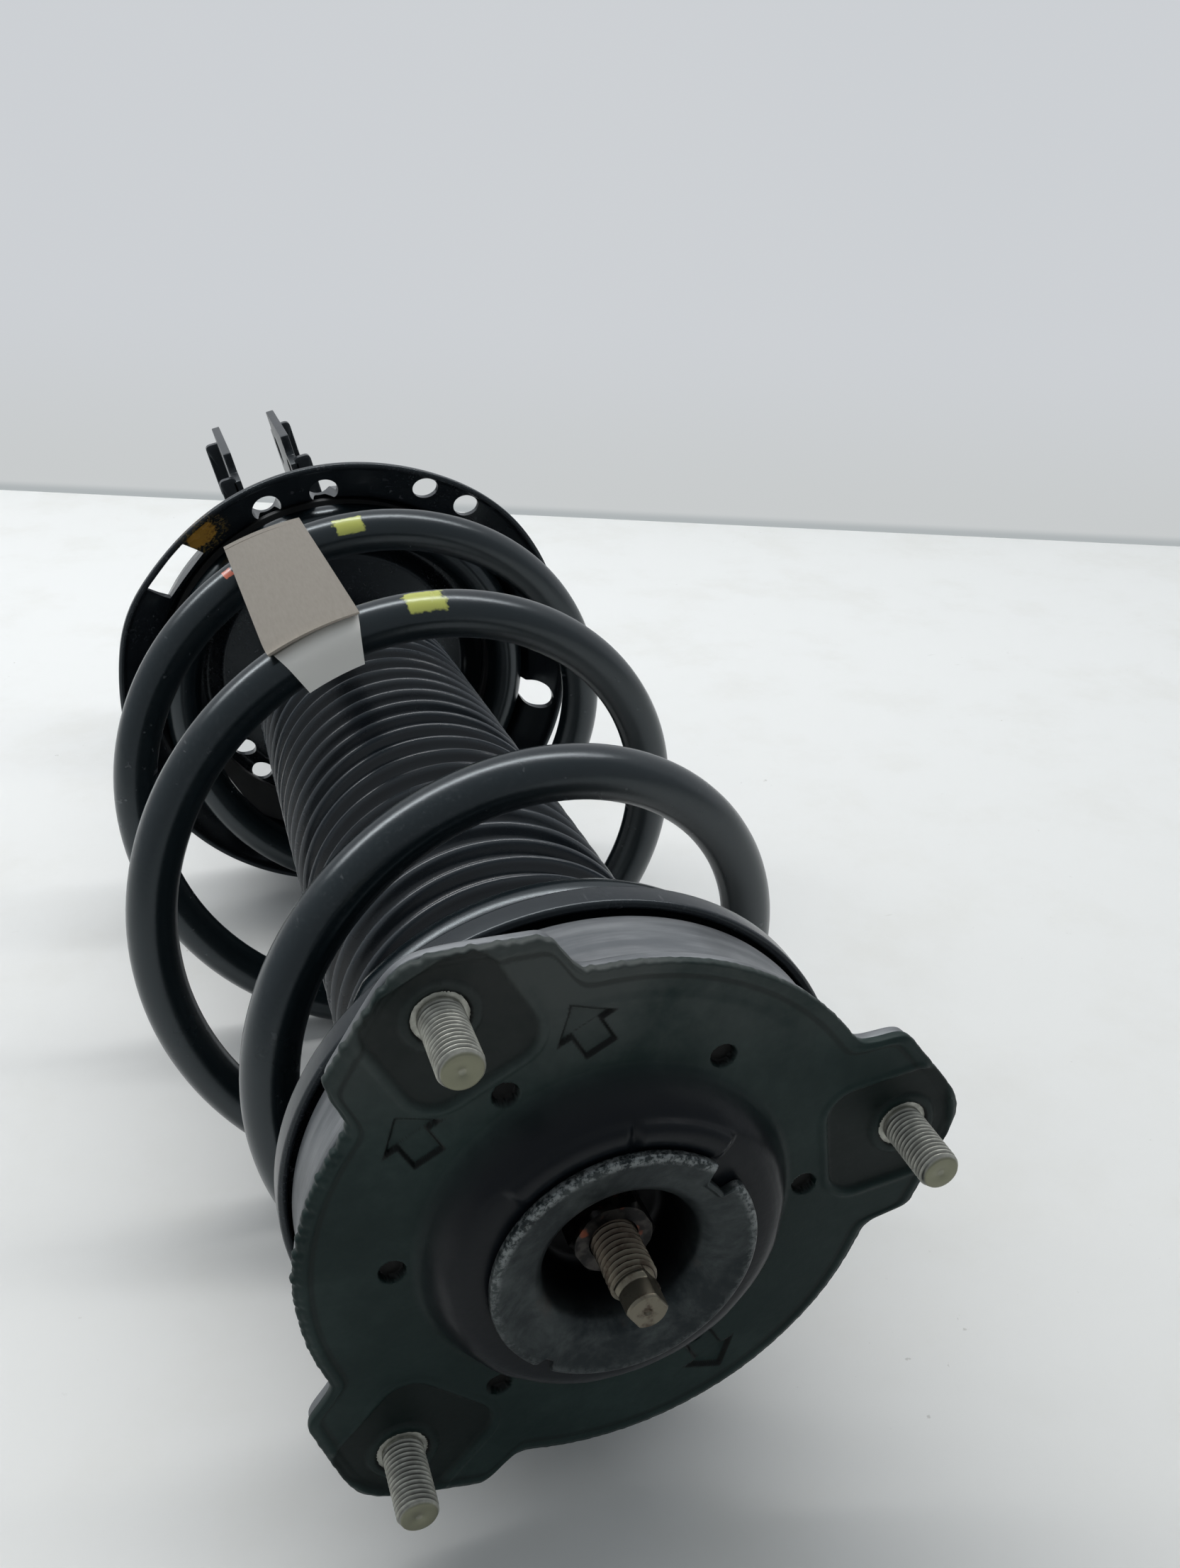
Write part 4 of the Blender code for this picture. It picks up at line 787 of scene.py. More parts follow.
# %% Upper seat and pads
upper_seat_profile = [
    (25.0, 29.2), (40.0, 29.2), (43.0, 30.7), (68.0, 30.7), (68.0, 25.4), (70.4, 25.4),
    (70.4, 32.1), (69.4, 33.1), (42.0, 33.1), (39.0, 31.6), (25.0, 31.6),
]
turned(
    "upper_seat_dish", upper_seat_profile, seat_black, "upper_seat_body", ("upper_spring_seat",),
    reach=1.0,
)

pad_rubber = mottled("pad_rubber", (0.012, 0.013, 0.014), (0.03, 0.031, 0.032), 120.0, roughness=0.6)
pad_rubber.bump(pad_rubber.noise(600.0), 0.1, 0.0004)
turned(
    "upper_pad_ring", [(49.75, 33.4), (63.25, 33.4), (63.25, 36.9), (49.75, 36.9)],
    pad_rubber, "upper_seat_body", ("upper_spring_pad",),
)
turned(
    "lower_pad_ring", [(61.25, 338.0), (74.75, 338.0), (74.75, 341.5), (61.25, 341.5)],
    pad_rubber, "strut_body", ("lower_spring_pad",),
)

# %% [markdown]
# ## The mount's rubber
#
# The top mount is a steel pressing with rubber moulded over it. From the front it shows three
# lobes, one for each stud, joined to a round plate by hollow curves. The outline is a single
# formula in the angle: the plate is a circle, each lobe has two parallel sides and an end of
# two slanted edges, and means with high powers join them with rounded corners.
#
# The front is a height field on a polar grid. Recesses for the studs, blind holes and raised
# arrows that show how the mount goes in are added to its height, each as a smooth mask, so
# no Boolean is needed. Rubber squeezes out of the mould as a thin ragged flash at the edge.

# %% Outline of the plate
STUD_ANGLES = {"left": 210.6, "right": 99.3, "low": 320.4}
STUD_CIRCLE = 75.3
PLATE_RADIUS, LOBE_REACH, LOBE_HALF_WIDTH = 70.0, 79.6, 26.9
BLEND, CORNER = 26, 40


def plate_outline(angle, grow=0.0):
    """(sum of r_k^B)^(1/B) over the circle and the lobes, B the blend. A lobe's r is
    (|sin d / w|^C + e^C)^(-1/C), C the corner, with d the angle from its stud and e the same
    kind of mean, with power B, of cos(d - 30) / D and cos(d + 30) / D."""
    total = np.full_like(angle, PLATE_RADIUS + grow) ** BLEND
    for stud in STUD_ANGLES.values():
        turn = angle - np.radians(stud)
        slants = [np.clip(np.cos(turn + slant), 0.1, None) for slant in (-np.pi / 6, np.pi / 6)]
        end = (slants[0] ** BLEND + slants[1] ** BLEND) ** (1 / BLEND) / (LOBE_REACH + grow)
        side = np.abs(np.sin(turn)) / (LOBE_HALF_WIDTH + grow)
        lobe = (side**CORNER + end**CORNER) ** (-1 / CORNER)
        total += np.where(np.cos(turn) > 0.2, lobe, 0.0) ** BLEND
    return total ** (1 / BLEND)


# %% [markdown]
# The relief is written in millimetres. Each feature is a soft-edged region: a distance from
# its edge goes through a smooth step about a third of a millimetre wide.

# %% Relief of the plate
def inside(distance, edge=0.35):
    """1 where the distance is below 0, 0 where it is above the edge's width."""
    return 1 - smooth_step(distance / edge)


def box_distance(across, along, half_across, half_along, corner):
    """Distance outside a rounded rectangle: the length of the part of (|x|, |y|) beyond the
    inner rectangle, less the corner's radius."""
    x = np.maximum(np.abs(across) - (half_across - corner), 0.0)
    y = np.maximum(np.abs(along) - (half_along - corner), 0.0)
    return np.hypot(x, y) - corner


def local(radius, angle, centre_angle):
    """Across and outward coordinates, in millimetres, about the ray at one angle."""
    turn = angle - np.radians(centre_angle)
    return radius * np.sin(turn), radius * np.cos(turn)


def arrow_distance(across, along, foot, tip):
    """Distance outside a block arrow that points along: the nearer of its shaft and of its
    head, a triangle whose half-width falls evenly to nothing at the tip."""
    beyond = np.abs(along - (foot + tip - 6) / 2) - (tip - 6 - foot) / 2
    shaft = np.maximum(np.abs(across) - 3.4, beyond)
    head = np.maximum((np.abs(across) - (tip - along)) * 0.707, (tip - 6.3) - along)
    return np.minimum(shaft, head)


# each arrow's middle, in degrees, and the way it points
ARROWS = [(187.5, 210.6), (231.3, 210.6), (30.7, 30.7)]
ARROW_CIRCLE, ARROW_HALF = 57.0, 6.6


def relief(radius, angle):
    """Height above the plate's face, in millimetres, up being towards the camera, and how
    dark each point is painted, from 0 to 1: painted shade in the blind holes and along the
    arrows' edges, and darker rubber on the stud pads and round the stud collars."""
    height = 0.10 * wander(angle, (3, 5, 8), 4) * smooth_step((radius - 50) / 10)
    shade_and_grime = np.zeros_like(height)
    # the plate's outer band falls away a little between two of the lobes
    band = smooth_step((radius - 61.5) / 2.5) * inside(np.abs(np.degrees(angle) - 160) - 28, 12)
    height = height - 0.5 * band
    for stud in STUD_ANGLES.values():
        across, out = local(radius, angle, stud)
        pad = box_distance(across, out - 71.5, 15.0, 15.5, 7.0)
        height = height - 0.9 * inside(pad, 0.8) + 0.4 * inside(np.abs(pad - 1.7) - 0.4, 0.8)
        shade_and_grime = np.maximum(shade_and_grime, 0.6 * inside(pad, 0.8))
        collar = np.hypot(across, out - STUD_CIRCLE)
        ring = inside(np.abs(collar - 7.4) - 0.9, 0.5)
        height = height + 0.7 * ring
        shade_and_grime = shade_and_grime - 0.45 * ring * shade_and_grime + 0.9 * inside(np.abs(collar - 6.0) - 0.3, 0.4)
    # the blind holes are painted dark inside: painted shade
    for k in range(6):
        across, out = local(radius, angle, 30 + 60 * k)
        hole = np.hypot(across, out - 49.4)
        height = height - 2.0 * inside(hole - 2.7, 0.4)
        shade_and_grime = np.maximum(shade_and_grime, inside(hole - 2.8, 0.4))
    # the arrows are sunk into the face; their edges get painted shade
    for middle, way in ARROWS:
        across, out = local(radius, angle, way)
        middle = np.radians(middle - way)
        across, out = across - ARROW_CIRCLE * np.sin(middle), out - ARROW_CIRCLE * np.cos(middle)
        arrow = arrow_distance(across, out, -ARROW_HALF, ARROW_HALF)
        height = height - 1.1 * inside(arrow, 0.3)
        shade_and_grime = np.maximum(shade_and_grime, inside(np.abs(arrow - 0.2) - 0.25, 0.35) * 0.9)
    return height, shade_and_grime.clip(0, 1)


# %% [markdown]
# The rubber itself: dark grey with a green cast, dry and dusty on the flat and smoother on
# the ring round the centre, where the mould was polished.

# %% Rubber finish
def from_axis(finish):
    """The distance from the strut's axis, in metres."""
    shift = {"Location": (-AXIS_ACROSS, 0, -AXIS_HEIGHT), "Scale": (1, 0, 1)}
    centred = finish.node("Mapping", inputs={"Vector": finish.coordinates, **shift})
    return finish.node("VectorMath", {"operation": "LENGTH"}, {0: centred}, output="Value")


mount_rubber = Finish("mount_rubber", roughness=0.6, Specular_IOR_Level=0.18)
cloud = mount_rubber.patches(0.38, 0.66, 26.0, 6.0, 0.6)
fine = mount_rubber.noise(340.0, 3.0)
on_flat = mount_rubber.rise(from_axis(mount_rubber), 0.040, 0.047)
upper_part = mount_rubber.rise(mount_rubber.part("Z"), AXIS_HEIGHT + 0.030, AXIS_HEIGHT + 0.072)
dusty = cloud * fine * 1.2
mount_rubber.paint(mount_rubber.mix(dusty, (0.0058, 0.0165, 0.0152), (0.021, 0.038, 0.035)))
mount_rubber.paint((0.055, 0.063, 0.060), upper_part * cloud)
# painted shade in the blind holes and along the arrows' edges, and darker rubber on the stud pads, round
# the collars and inside the lip
mount_rubber.paint((0.0020, 0.0022, 0.0020), mount_rubber.attribute("wear"))
mount_rubber.paint((0.0046, 0.0062, 0.0086), 1 - on_flat)
mount_rubber.set(Roughness=mount_rubber.rise(on_flat, 0.0, 1.0, 0.27, 0.44) + fine * 0.1)
mount_rubber.bump(fine + mount_rubber.noise(90.0) * 0.8, 0.16, 0.0005)

# %% [markdown]
# The grid has a column for about every 0.4 degrees and a row for every 0.6 mm, which is fine
# enough for the arrows' edges. Behind the skin the profile goes down the bush to the core.

# %% Mount rubber
plate_angle = round_angles(864)
torn = 0.22 + 0.78 * smooth_step((np.cos(plate_angle - np.radians(228)) - 0.45) / 0.4)
ragged = 0.32 * wander(plate_angle, (83, 131, 197), 7) + 0.2 * wander(plate_angle, (7, 11, 17), 9)
flash = torn * ragged
edge = plate_outline(plate_angle, 0.6) + flash
front_share = np.linspace(0.0, 1.0, 78)[:, None]
front_radius = edge[None, :] - 0.5 + (46.0 - edge[None, :] + 0.5) * front_share
fade = smooth_step((edge[None, :] - 0.5 - front_radius) / 1.5)
height, shade_and_grime = relief(front_radius, plate_angle[None, :])
# a low lip runs along the outline, and its inner side is painted darker
gap = plate_outline(plate_angle)[None, :] - front_radius
height = height + 0.35 * inside(np.abs(gap - 1.3) - 0.7, 0.7)
shade_and_grime = np.maximum(shade_and_grime, 0.45 * inside(np.abs(gap - 3.1) - 0.35, 0.6))
front_station = -height * fade + 0.12 * (1 - fade)

blotch = 0.35 * wander(plate_angle, (5, 9, 13, 21), 12)
# two raised blocks stand on the ring beside the washer
blocks = np.maximum(
    inside(np.abs(np.degrees(plate_angle) - 203.5) - 20.5, 4.5) * 0.9,
    inside(np.abs(np.degrees(plate_angle) - 159.0) - 16.5, 4.5) * 1.25,
)
ring_rows = [
    (45.2, 0.0), (44.2, -0.6), (43.2, -2.2), (42.0, -4.6), (40.8, -6.6), (39.9, -7.8),
    (39.0, -8.7), (38.4, -9.1), (38.0, -9.3), (37.6, -9.5), (37.0, -9.8), (35.5, -10.2),
    (33.0, -10.5), (31.0, -10.5), (28.0, -10.5), (26.3, -10.5), (26.3, 12.5), (34.1, 12.5),
    (34.1, -6.5), (37.3, -6.5), (46.0, 2.4),
]
ring_radius, ring_station = np.moveaxis(spread(ring_rows, plate_angle), -1, 0)
ring_station[3:7] += (blotch * np.array([0.3, 0.6, 0.6, 0.3])[:, None]).clip(-0.3, 0.4)
ring_station[8:13] -= blocks * np.array([0.3, 1.0, 1.5, 1.5, 1.2])[:, None]
back = spread([(edge - 0.2, 2.3), (edge, 1.6), (edge - 0.1, 0.5)], plate_angle)
back_radius, back_station = np.moveaxis(back, -1, 0)
radius_rows = np.concatenate([back_radius, front_radius, ring_radius])
station_rows = np.concatenate([back_station, front_station, ring_station])
points = place(radius_rows * MM, plate_angle[None, :], station_rows * MM)
shade = np.concatenate([0 * back_radius, shade_and_grime, 0 * ring_radius])
rubber = surface(
    "mount_rubber_skin", points, mount_rubber, "top_mount_body", ("mount_rubber",), wear=shade,
    sharp=70.0,
)
print("mount rubber faces", len(rubber.data.polygons))

# %% [markdown]
# ## The mount's steel shell
#
# Behind the rubber the shell shows as a pale grey wall under the plate, worn to bare zinc,
# with a thin edge that follows the lobes.

# %% Shell
shell_grey = Finish("shell_grey", roughness=0.5, metallic=0.55)
streaks = shell_grey.patches(0.35, 0.7, 1.0, 5.0, where=shell_grey.stretched(30.0, 260.0, 30.0))
shell_grey.paint(shell_grey.mix(streaks, (0.13, 0.14, 0.15), (0.24, 0.25, 0.26)))
shell_grey.paint((0.07, 0.075, 0.08), shell_grey.patches(0.4, 0.7, 34.0, 6.0) * 0.7)
shell_grey.set(Roughness=shell_grey.noise(80.0) * 0.25 + 0.38)
shell_grey.bump(shell_grey.noise(260.0), 0.08, 0.0004)

shell_edge = plate_outline(plate_angle)
shell_rows = [
    (shell_edge, 2.7), (shell_edge, 5.3), (67.5, 5.3), (67.5, 24.2), (64.9, 24.2), (64.9, 5.3),
    (43.5, 5.3), (37.0, -0.7), (37.0, 12.8), (34.4, 12.8), (34.4, -6.3), (37.0, -6.3), (46.0, 2.7),
]
pressed(
    "mount_shell_pressing", spread(shell_rows, plate_angle), plate_angle, 0.8, shell_grey,
    "top_mount_body", ("mount_shell",), steps=4,
)

# %% [markdown]
# ## Studs with real threads
#
# A thread is a helix, so its surface is a single formula too: the radius falls and rises once
# for every pitch, and the phase moves on with the angle. A point attribute marks the
# crests, and the finish darkens what lies below them, where grime sits. At the foot a knurled
# collar bites into the plate. The rod's end, further on, is made by the same function.

# %% Threaded rod surface
def thread_depth(station, angle, pitch):
    """0 at a crest, 1 at a root: a triangle wave in station / pitch minus the turn, flattened
    a little at crest and root."""
    phase = (station / pitch - angle / (2 * np.pi)) % 1.0
    return np.clip(np.abs(phase - 0.5) * 2 * 1.25 - 0.12, 0.0, 1.0)


zinc = Finish("zinc_plate", roughness=0.45, metallic=0.85)
crest_wear = zinc.attribute("wear")
zinc.paint(zinc.mix(zinc.patches(0.35, 0.7, 420.0, 5.0), (0.36, 0.36, 0.32), (0.56, 0.56, 0.50)))
zinc.paint((0.24, 0.24, 0.17), zinc.rise(zinc.part("Y"), FACE_Y - 0.0168, FACE_Y - 0.0173))
zinc.paint((0.11, 0.11, 0.10), 1 - crest_wear)
zinc.set(Roughness=zinc.noise(300.0) * 0.25 + 0.34, Metallic=crest_wear * 0.25 + 0.6)
zinc.bump(zinc.noise(900.0), 0.12, 0.0002)


def threaded_bar(name, angle, front, thread, back, plain_wear, sharp, finish, stands_for, middle=0.0):
    """Rows from the tip's centre to the tail's centre: plain (radius, station) rows in front
    of the thread and behind it, and the thread's own radius, station and crest height between."""
    flat = 0 * angle
    front, back = (
        [(radius + flat, along + flat, plain_wear + flat) for radius, along in rows]
        for rows in (front, back)
    )
    radius, station, wear = (np.concatenate(rows) for rows in zip(*front, thread, *back))
    points = place(radius * MM, angle, station * MM) + middle
    surface(name, points, finish, "top_mount_body", (stands_for,), (False, True), wear, sharp)


angle = round_angles(84)[None, :]
station = np.linspace(-16.6, 0.3, 170)[:, None]
run_out = smooth_step((station + 17.2) / 1.2) * smooth_step((0.4 - station) / 1.6)
depth = thread_depth(station, angle, 1.25)
radius = 5.0 - 0.55 * depth * run_out - 0.25 * (1 - smooth_step((station + 16.8) / 0.9))
stud_thread = (radius, station + 0 * angle, 1 - depth)
knurl = 6.35 + 0.38 * np.abs(np.cos(14 * angle))
stud_tip = [(0.0, -17.1), (0.7, -17.1), (1.0, -17.35), (3.9, -17.45), (4.2, -17.35)]
stud_foot = [
    (4.75, 0.5), (4.75, 0.7), (knurl - 0.4, 0.7), (knurl, 1.1), (knurl, 5.6), (7.4, 5.6), (7.4, 8.6),
    (0.0, 8.6),
]
for side, stud_angle in STUD_ANGLES.items():
    middle = STUD_CIRCLE * MM * outward(np.radians(stud_angle))
    threaded_bar(
        f"threaded_stud_{side}", angle, stud_tip, stud_thread, stud_foot, 0.9, 50.0, zinc,
        f"stud_{side}", middle,
    )

# %% [markdown]
# ## Cup washer, nut and rod end
#
# A dished washer presses on the rubber. It has lost its shine: dark, with a pale bloom where
# it was handled, and two small notches in its rim. Deep in its cup the nut holds the rod,
# whose end is threaded and then cut with two flats for a spanner.

# %% Washer
washer_steel = Finish("washer_steel", roughness=0.5, metallic=0.5, Specular_IOR_Level=0.3)
bloom_large = washer_steel.patches(0.40, 0.68, 60.0, 7.0, 0.65, distortion=0.6)
bloom_fine = washer_steel.patches(0.45, 0.72, 420.0)
bloomed = bloom_large * 0.8 + bloom_fine * 0.2
reach = from_axis(washer_steel)
streak = washer_steel.patches(0.40, 0.62, 700.0, 3.0, 0.7)
# The pale streaks on the rim are wear, and they are made strongest on its upper side as a painted
# highlight from the light above.
upper = washer_steel.rise(washer_steel.part("Z"), AXIS_HEIGHT - 0.015, AXIS_HEIGHT + 0.020, 0.25, 1.0)
rim_wear_and_highlight = washer_steel.rise(reach, 0.0284, 0.0304) * streak * upper
washer_steel.paint(washer_steel.mix(bloomed, (0.012, 0.017, 0.019), (0.058, 0.068, 0.068)))
washer_steel.paint((0.05, 0.035, 0.028), washer_steel.patches(0.62, 0.75, 95.0) * 0.35)
washer_steel.paint((0.26, 0.28, 0.28), rim_wear_and_highlight * 0.75)
# painted shade: inside about 18 mm from the axis the washer is made near black, as shadow deep in its
# cup
washer_steel.paint((0.003, 0.003, 0.004), washer_steel.rise(reach, 0.0195, 0.0165))
washer_steel.set(Roughness=washer_steel.noise(120.0, 5.0) * 0.35 + 0.24)
washer_steel.bump(washer_steel.noise(220.0, 5.0), 0.22, 0.0005)

washer_angle = round_angles(288)
lift = 0.10 * wander(washer_angle, (3, 4, 7), 3)
washer_rows = [
    (5.9, 6.0), (14.5, 6.0), (16.0, 4.5), (17.4, -5.0), (18.6, -9.4), (20.8, -11.6), (25.2, -12.8),
    (29.8, -13.8), (31.2, -13.4), (31.2, -10.9), (22.0, -10.8), (20.3, -8.6), (18.3, 7.2),
    (17.2, 8.4), (5.9, 8.4),
]
corners = spread(washer_rows, washer_angle)
notched = np.zeros_like(washer_angle)
for notch, half_width, depth in ((132.8, 6.4, 1.5), (322.9, 2.6, 0.9)):
    away = np.abs((np.degrees(washer_angle) - notch + 180) % 360 - 180)
    notched = np.maximum(notched, inside(away - half_width, 2.0) * depth)
corners[7:10, :, 0] -= notched * np.array([2.6, 2.9, 2.9])[:, None]
corners[6:9, :, 1] -= np.array([0.5, 1.0, 1.0])[:, None] * lift.clip(0, 0.1)
pressed("cup_washer_dish", corners, washer_angle, 1.2, washer_steel, "top_mount_body", ("cup_washer",))

# %% [markdown]
# The nut is a six-sided profile: its radius round the axis is half the width across flats
# over the cosine of the angle from the nearest flat, cut by a cone where the corners are
# chamfered.

# %% Nut
nut_steel = Finish("nut_steel", roughness=0.4, metallic=0.9)
tint = nut_steel.patches(0.45, 0.62, 240.0)
smear = nut_steel.patches(0.60, 0.68, 150.0, 2.0)
# painted shade: the nut's steel is made nearly black, as for a nut lying in shadow deep in the washer's
# cup; the orange-brown smear is rust
nut_steel.paint(nut_steel.mix(tint, (0.016, 0.015, 0.015), (0.055, 0.050, 0.046)))
nut_steel.paint((0.20, 0.045, 0.015), smear)
nut_steel.set(Roughness=nut_steel.noise(300.0) * 0.3 + 0.3, Metallic=0.85 - smear * 0.6)


ACROSS_FLATS, NUT_BORE, NUT_FRONT, NUT_BACK = 18.0, 5.9, -4.3, 5.7
nut_angle = round_angles(180)
flat_sides = ACROSS_FLATS / 2 / np.cos((nut_angle + np.pi / 6) % (np.pi / 3) - np.pi / 6)
chamfer = np.minimum(flat_sides, ACROSS_FLATS / 2 * 1.03)
nut_rows = [
    (NUT_BORE, NUT_FRONT), (chamfer, NUT_FRONT), (flat_sides, NUT_FRONT + 0.9),
    (flat_sides, NUT_BACK - 0.9), (chamfer, NUT_BACK), (NUT_BORE, NUT_BACK),
]
nut_corners = spread(nut_rows, nut_angle) * MM
points = place(nut_corners[..., 0], nut_angle[None, :], nut_corners[..., 1])
surface("rod_nut_hex", points, nut_steel, "top_mount_body", ("rod_nut",), sharp=25.0)

# %% [markdown]
# The rod is one long turned bar: thread and flats in front, the chromed run through the
# seal, and the spigot that carries the piston. The flats are planes, so along them the
# radius is the half-thickness over the cosine of the angle from the flat.

# %% Piston rod
rod_finish = Finish("rod_end_steel", roughness=0.3, metallic=0.95)
along = rod_finish.part("Y")
behind = rod_finish.rise(along, FACE_Y + 0.004, FACE_Y + 0.012)
near_nut = rod_finish.rise(along, FACE_Y - 0.0175, FACE_Y - 0.007)
rust_mask = rod_finish.patches(0.50, 0.66, 210.0, 5.0, 0.6)
rod_finish.paint(rod_finish.mix(rust_mask * 0.8, (0.17, 0.155, 0.12), (0.06, 0.04, 0.03)))
rod_finish.paint((0.06, 0.045, 0.038), near_nut * 0.55)
rod_finish.paint((0.045, 0.030, 0.022), (1 - rod_finish.attribute("wear")) * 0.8)
rod_finish.paint((0.72, 0.72, 0.73), behind)
rod_finish.set(Roughness=rod_finish.rise(behind, 0.0, 1.0, 0.38, 0.12) + rust_mask * 0.15)

angle = round_angles(120)[None, :]
station = np.linspace(-23.5, -1.0, 200)[:, None]
depth = thread_depth(station, angle, 1.5)
in_thread = smooth_step((station + 17.5) / 0.5) * smooth_step((-1.0 - station) / 1.5)
tip_radius = 4.75 + 0.75 * smooth_step((station + 19.2) / 1.2)
radius = np.where(station < -17.5, tip_radius, 5.6 - 0.75 * depth * in_thread)
half_flat = 3.9 / np.maximum(np.abs(np.cos(angle - np.radians(125.0))), 0.05)
flatten = smooth_step((-16.0 - station) / 0.6)
radius = radius * (1 - flatten) + np.minimum(radius, half_flat) * flatten
# the rows are stretched forward to the end face
stretched = np.linspace(-25.6, -1.0, 200)[:, None] + 0 * angle
rod_thread = (radius, stretched, 1 - depth * in_thread)
cap = np.minimum(4.3 + 0 * angle, half_flat * 0.94)
rod_tip = [(0.0, -25.6), (0.6, -25.6), (1.0, -26.1), (cap, -26.15)]
rod_run = [
    (5.6, 0.0), (5.6, 11.8), (10.6, 11.8), (11.0, 12.2), (11.0, 289.7), (6.0, 289.7), (6.0, 319.0),
    (5.0, 320.0), (0.0, 320.0),
]
threaded_bar(
    "piston_rod_bar", angle, rod_tip, rod_thread, rod_run, 1.0, 40.0, rod_finish, "piston_rod"
)

# %% [markdown]
# ## Tube, cap and bracket
#
# The damper's tube is plain painted steel with a rounded end. The bracket that clamps the
# wheel's knuckle is bent from thick plate: its section is a path from one ear round the tube
# to the other ear, drawn once and given its thickness by Solidify, with the edges bevelled.

# %% Tube and cap
tube_profile = [(0.0, 505.0), (25.5, 505.0), (25.5, 230.0), (23.5, 230.0), (23.5, 501.0), (0.0, 501.0)]
turned("damper_tube", tube_profile, tube_black, "strut_body", ("strut_tube",), reach=3.0)
plain_steel = mottled("plain_steel", (0.42, 0.41, 0.39), (0.6, 0.59, 0.56), 90.0, metallic=1.0)
plain_steel.set(Roughness=plain_steel.noise(200.0) * 0.2 + 0.25)
turned(
    "damper_tube_cap",
    [(11.5, 227.2), (28.3, 227.2), (28.3, 244.0), (25.8, 244.0), (25.8, 229.7), (11.5, 229.7)],
    plain_steel, "strut_body", ("tube_cap",), reach=1.2,
)

# %% Bracket
BRACKET_ANGLE = np.radians(195.5)
ACROSS_EARS = outward(BRACKET_ANGLE + np.pi / 2)
MID = 27.8
ear = np.linspace(72.0, 29.0, 24)
ear_x = 14.0 + 1.0 * smooth_step((31.0 - ear) / 2.0)
bend = np.linspace(np.arcsin(15.0 / MID), 2 * np.pi - np.arcsin(15.0 / MID), 90)
path_x = np.concatenate([ear_x, MID * np.sin(bend), -ear_x[::-1]])
path_down = np.concatenate([ear, MID * np.cos(bend), ear[::-1]])
reach_out = np.maximum(path_down, 0.0)
corner = 9.0 * smooth_step((reach_out - 61.0) / 2.0)
low, high = 445.0 + corner, 517.0 - corner
across = np.linspace(0.0, 1.0, 30)[None, :]
station = low[:, None] + (high - low)[:, None] * across
angle = np.arctan2(path_x, path_down) + BRACKET_ANGLE
radius = np.hypot(path_x, path_down)
points = place(radius[:, None] * MM, angle[:, None], station * MM)
bracket = surface(
    "knuckle_bracket_plate", points, bracket_black, "strut_body", ("knuckle_bracket",),
    wrap=(False, False),
)
solidify = bracket.modifiers.new("thickness", "SOLIDIFY")
solidify.thickness, solidify.offset = 3.8 * MM, 0.0
bevel = bracket.modifiers.new("edges", "BEVEL")
bevel.width, bevel.segments, bevel.limit_method = 0.7 * MM, 2, "ANGLE"
bake_modifiers(bracket)
bolt_holes = [
    cylinder_cutter(place(53 * MM, BRACKET_ANGLE, along * MM), ACROSS_EARS, 7.0 * MM, 60 * MM)
    for along in (459.0, 503.0)
]
carve(bracket, bolt_holes)


def flange(name, side, start):
    """A stiffening lip along one edge of an ear, bent outwards: a bar with soft corners
    from 14 to 22 mm across, 32 to 63 mm out."""
    outline = rounded([(14.2, 32.0), (22.0, 36.0), (22.0, 62.8), (14.2, 62.8)], 2.5, steps=6)
    centre = outline.mean(axis=0)
    rings = []
    for grow, along in ((0.0, 0.0), (0.9, 0.0), (1.0, 0.4), (1.0, 3.6), (0.9, 4.0), (0.0, 4.0)):
        ring = centre + (outline - centre) * grow
        down = ring[:, 1:] * outward(BRACKET_ANGLE)
        offset = side * ring[:, :1] * ACROSS_EARS + down
        rings.append(place(0.0, 0.0, (start + along) * MM) + offset * MM)
    points = np.stack(rings)
    return surface(name, points, bracket_black, "strut_body", wrap=(False, True))


for side in (-1, 1):
    for number, start in enumerate((445.0, 513.0)):
        flange(f"ear_flange_{'left' if side > 0 else 'right'}_{number}", side, start)

# %% [markdown]
# ## Pieces inside
#
# These show only when the strut is taken apart, but they wear real finishes too. The foam
# bump stop has three waists, so it folds before it goes solid.

# %% Bump stop and seal
foam = mottled("bump_foam", (0.50, 0.42, 0.24), (0.62, 0.54, 0.34), 60.0, roughness=0.85)
foam.bump(foam.noise(900.0, 2.0), 0.4, 0.0005)
bump_profile = [(12.0, 49.9), (25.0, 49.9)]
for k in range(3):
    waist = 49.9 + 60 * (0.28 + 0.22 * k)
    bump_profile += [(25.0 - 2.2 * k, waist - 5.0), (20.0 - 2.2 * k, waist)]
bump_profile += [(15.0, 109.9), (12.0, 109.9)]
turned("bump_stop_foam", bump_profile, foam, "top_mount_body", ("bump_stop",), reach=2.5)
seal_profile = [(11.3, 231.0), (23.2, 231.0), (23.2, 237.0), (14.0, 237.0), (14.0, 234.0), (11.3, 234.0)]
turned("rod_seal_ring", seal_profile, pad_rubber, "strut_body", ("rod_seal",), reach=0.5)

# %% [markdown]
# What is left are small turned parts whose CAD shape is already right. They keep it and
# only get a finish.

# %% Finishes on CAD pieces
sintered = mottled(
    "sintered_bronze", (0.36, 0.23, 0.10), (0.52, 0.36, 0.18), 300.0, roughness=0.45, metallic=0.9
)
sintered.bump(sintered.noise(900.0), 0.15, 0.0003)
cage_plastic = mottled("cage_plastic", (0.06, 0.06, 0.06), (0.10, 0.10, 0.10), 200.0)
dark_steel = mottled(
    "phosphated_steel", (0.04, 0.042, 0.045), (0.09, 0.092, 0.095), 120.0, 5.0, metallic=0.7
)

